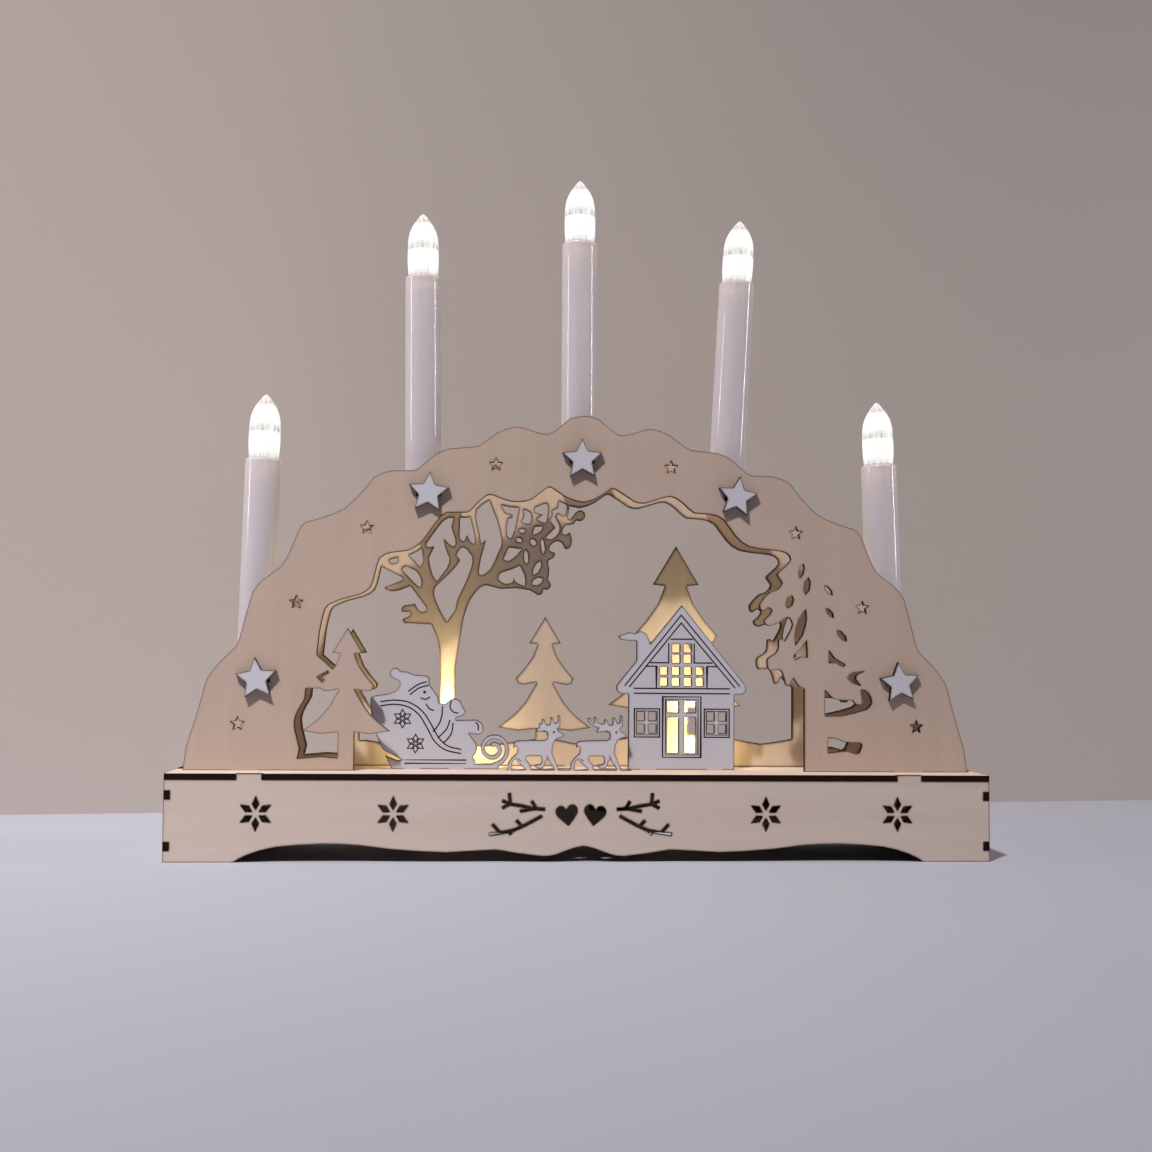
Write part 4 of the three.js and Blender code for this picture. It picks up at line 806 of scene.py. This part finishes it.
# The dome throws most of its light straight up, and a little of it sideways. The one behind the
# sleigh stands a little askew, so that its beam climbs the trunk and catches the rim of the back
# arch on its left. The one behind the house fills its windows.
beam_color = "#fff1a8"
over_dome = 3 * mm
lean_back = radians(3)
for name, beam_power, beam_degrees, tilt_degrees, spill_power in (
    ("scene_light_sleigh", 0.34, 104, 16, 0.05),
    ("scene_light_house", 0.4, 90, 0, 0.03),
):
    low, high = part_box(name)
    for kind, power in (("SPOT", beam_power), ("POINT", spill_power)):
        light = bpy.data.lights.new(f"{name}_{kind.lower()}", kind)
        light.energy = power
        light.color = linear(beam_color)[:3]
        light.shadow_soft_size = dome_radius
        if kind == "SPOT":
            light.spot_size = radians(beam_degrees)
            light.spot_blend = 1.0
        holder = bpy.data.objects.new(light.name, light)
        holder.location = ((low.x + high.x) / 2, (low.y + high.y) / 2, high.z + over_dome)
        holder.rotation_euler = (pi - lean_back, -radians(tilt_degrees), 0)
        bpy.context.scene.collection.objects.link(holder)

# Battery box, its sliding cover, the terminal block and the switch. They are moulded in black
# ABS, and screwed and glued under the lid, where they don't show from in front. The mould's
# spark-eroded texture gives them a fine, even grain with a soft sheen.

grit_width, grit_relief = 0.25 * mm, 0.02 * mm
black_abs = new_material("moulded_black_abs")
spot = node(black_abs, "ShaderNodeTexCoord")
grit = node(black_abs, "ShaderNodeTexNoise", {
    "Vector": spot.outputs["Object"], "Scale": 1 / grit_width,
})
shade = node(black_abs, "ShaderNodeMix", {
    "Factor": grit.outputs["Fac"], "A": linear("#1e1e21"), "B": linear("#2c2c30"),
}, data_type="RGBA")
relief = node(black_abs, "ShaderNodeBump", {
    "Height": grit.outputs["Fac"], "Strength": 0.2, "Distance": grit_relief,
})
surface(black_abs, node(black_abs, "ShaderNodeBsdfPrincipled", {
    "Base Color": shade.outputs["Result"], "Roughness": 0.45, "IOR": 1.53,
    "Normal": relief.outputs["Normal"],
}))
finish(black_abs, "battery_box", "battery_cover", "terminal_block", "switch_body", "switch_knob")

# Cells. Three AA cells lie side by side in the battery box. Each is a drawn steel can in a plain
# printed film, which leaves a bare and shiny rim at both ends.

bare_rim = 2.4 * mm
cell_jacket = new_material("printed_film_on_steel")
spot = node(cell_jacket, "ShaderNodeTexCoord")
place = node(cell_jacket, "ShaderNodeSeparateXYZ", {"Vector": spot.outputs["Object"]})
cell_low, cell_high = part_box("battery_cell_1")
middle_x = (cell_low.x + cell_high.x) / 2
half_cell = (cell_high.x - cell_low.x) / 2
from_middle = node(cell_jacket, "ShaderNodeMath", {
    0: place.outputs["X"], 1: middle_x,
}, operation="SUBTRACT")
away = node(cell_jacket, "ShaderNodeMath", {0: from_middle.outputs["Value"]}, operation="ABSOLUTE")
bare = node(cell_jacket, "ShaderNodeMath", {
    0: away.outputs["Value"], 1: half_cell - bare_rim,
}, operation="GREATER_THAN")
film = node(cell_jacket, "ShaderNodeMix", {
    "Factor": bare.outputs["Value"], "A": linear("#3b4d6b"), "B": linear("#b9babd"),
}, data_type="RGBA")
surface(cell_jacket, node(cell_jacket, "ShaderNodeBsdfPrincipled", {
    "Base Color": film.outputs["Result"], "Metallic": bare.outputs["Value"], "Roughness": 0.3,
}))
finish(cell_jacket, *[f"battery_cell_{number}" for number in range(1, 4)])

# Contact strips. Each is folded out of spring steel strip and nickel plated, and stands in an end
# of the battery box. The plating is bright, over the faint lines that drawing leaves in the strip.

line_width, line_length = 0.1 * mm, 3 * mm
nickel = new_material("nickel_plated_spring_steel")
spot = node(nickel, "ShaderNodeTexCoord")
drawn = node(nickel, "ShaderNodeMapping", {
    "Vector": spot.outputs["Object"],
    "Scale": (1 / line_width, 1 / line_width, 1 / line_length),
})
lines = node(nickel, "ShaderNodeTexNoise", {"Vector": drawn.outputs["Vector"], "Scale": 1.0})
dull = node(nickel, "ShaderNodeMapRange", {
    "Value": lines.outputs["Fac"], "To Min": 0.2, "To Max": 0.38,
})
surface(nickel, node(nickel, "ShaderNodeBsdfPrincipled", {
    "Base Color": linear("#b9babd"), "Metallic": 1.0, "Roughness": dull.outputs["Result"],
}))
finish(nickel, "contact_strip_left", "contact_strip_right")

# Leads. Thin wire in extruded soft white PVC runs from each candle down the back of the front
# arch, and through the lid to the terminal block. It is smooth, a little unevenly white, and the
# shader rounds off its facets.

tint_width = 5 * mm
wire_rounding = 0.7 * mm
pvc = new_material("soft_white_pvc")
spot = node(pvc, "ShaderNodeTexCoord")
tint = node(pvc, "ShaderNodeTexNoise", {
    "Vector": spot.outputs["Object"], "Scale": 1 / tint_width,
})
sheath = node(pvc, "ShaderNodeMix", {
    "Factor": tint.outputs["Fac"], "A": linear("#d9d4ca"), "B": linear("#e8e4dc"),
}, data_type="RGBA")
round_wire = node(pvc, "ShaderNodeBevel", {"Radius": wire_rounding}, samples=6)
surface(pvc, node(pvc, "ShaderNodeBsdfPrincipled", {
    "Base Color": sheath.outputs["Result"], "Roughness": 0.4,
    "Normal": round_wire.outputs["Normal"],
}))
finish(pvc, "switch_lead", *[f"candle_lead_{number}" for number in candle_numbers])
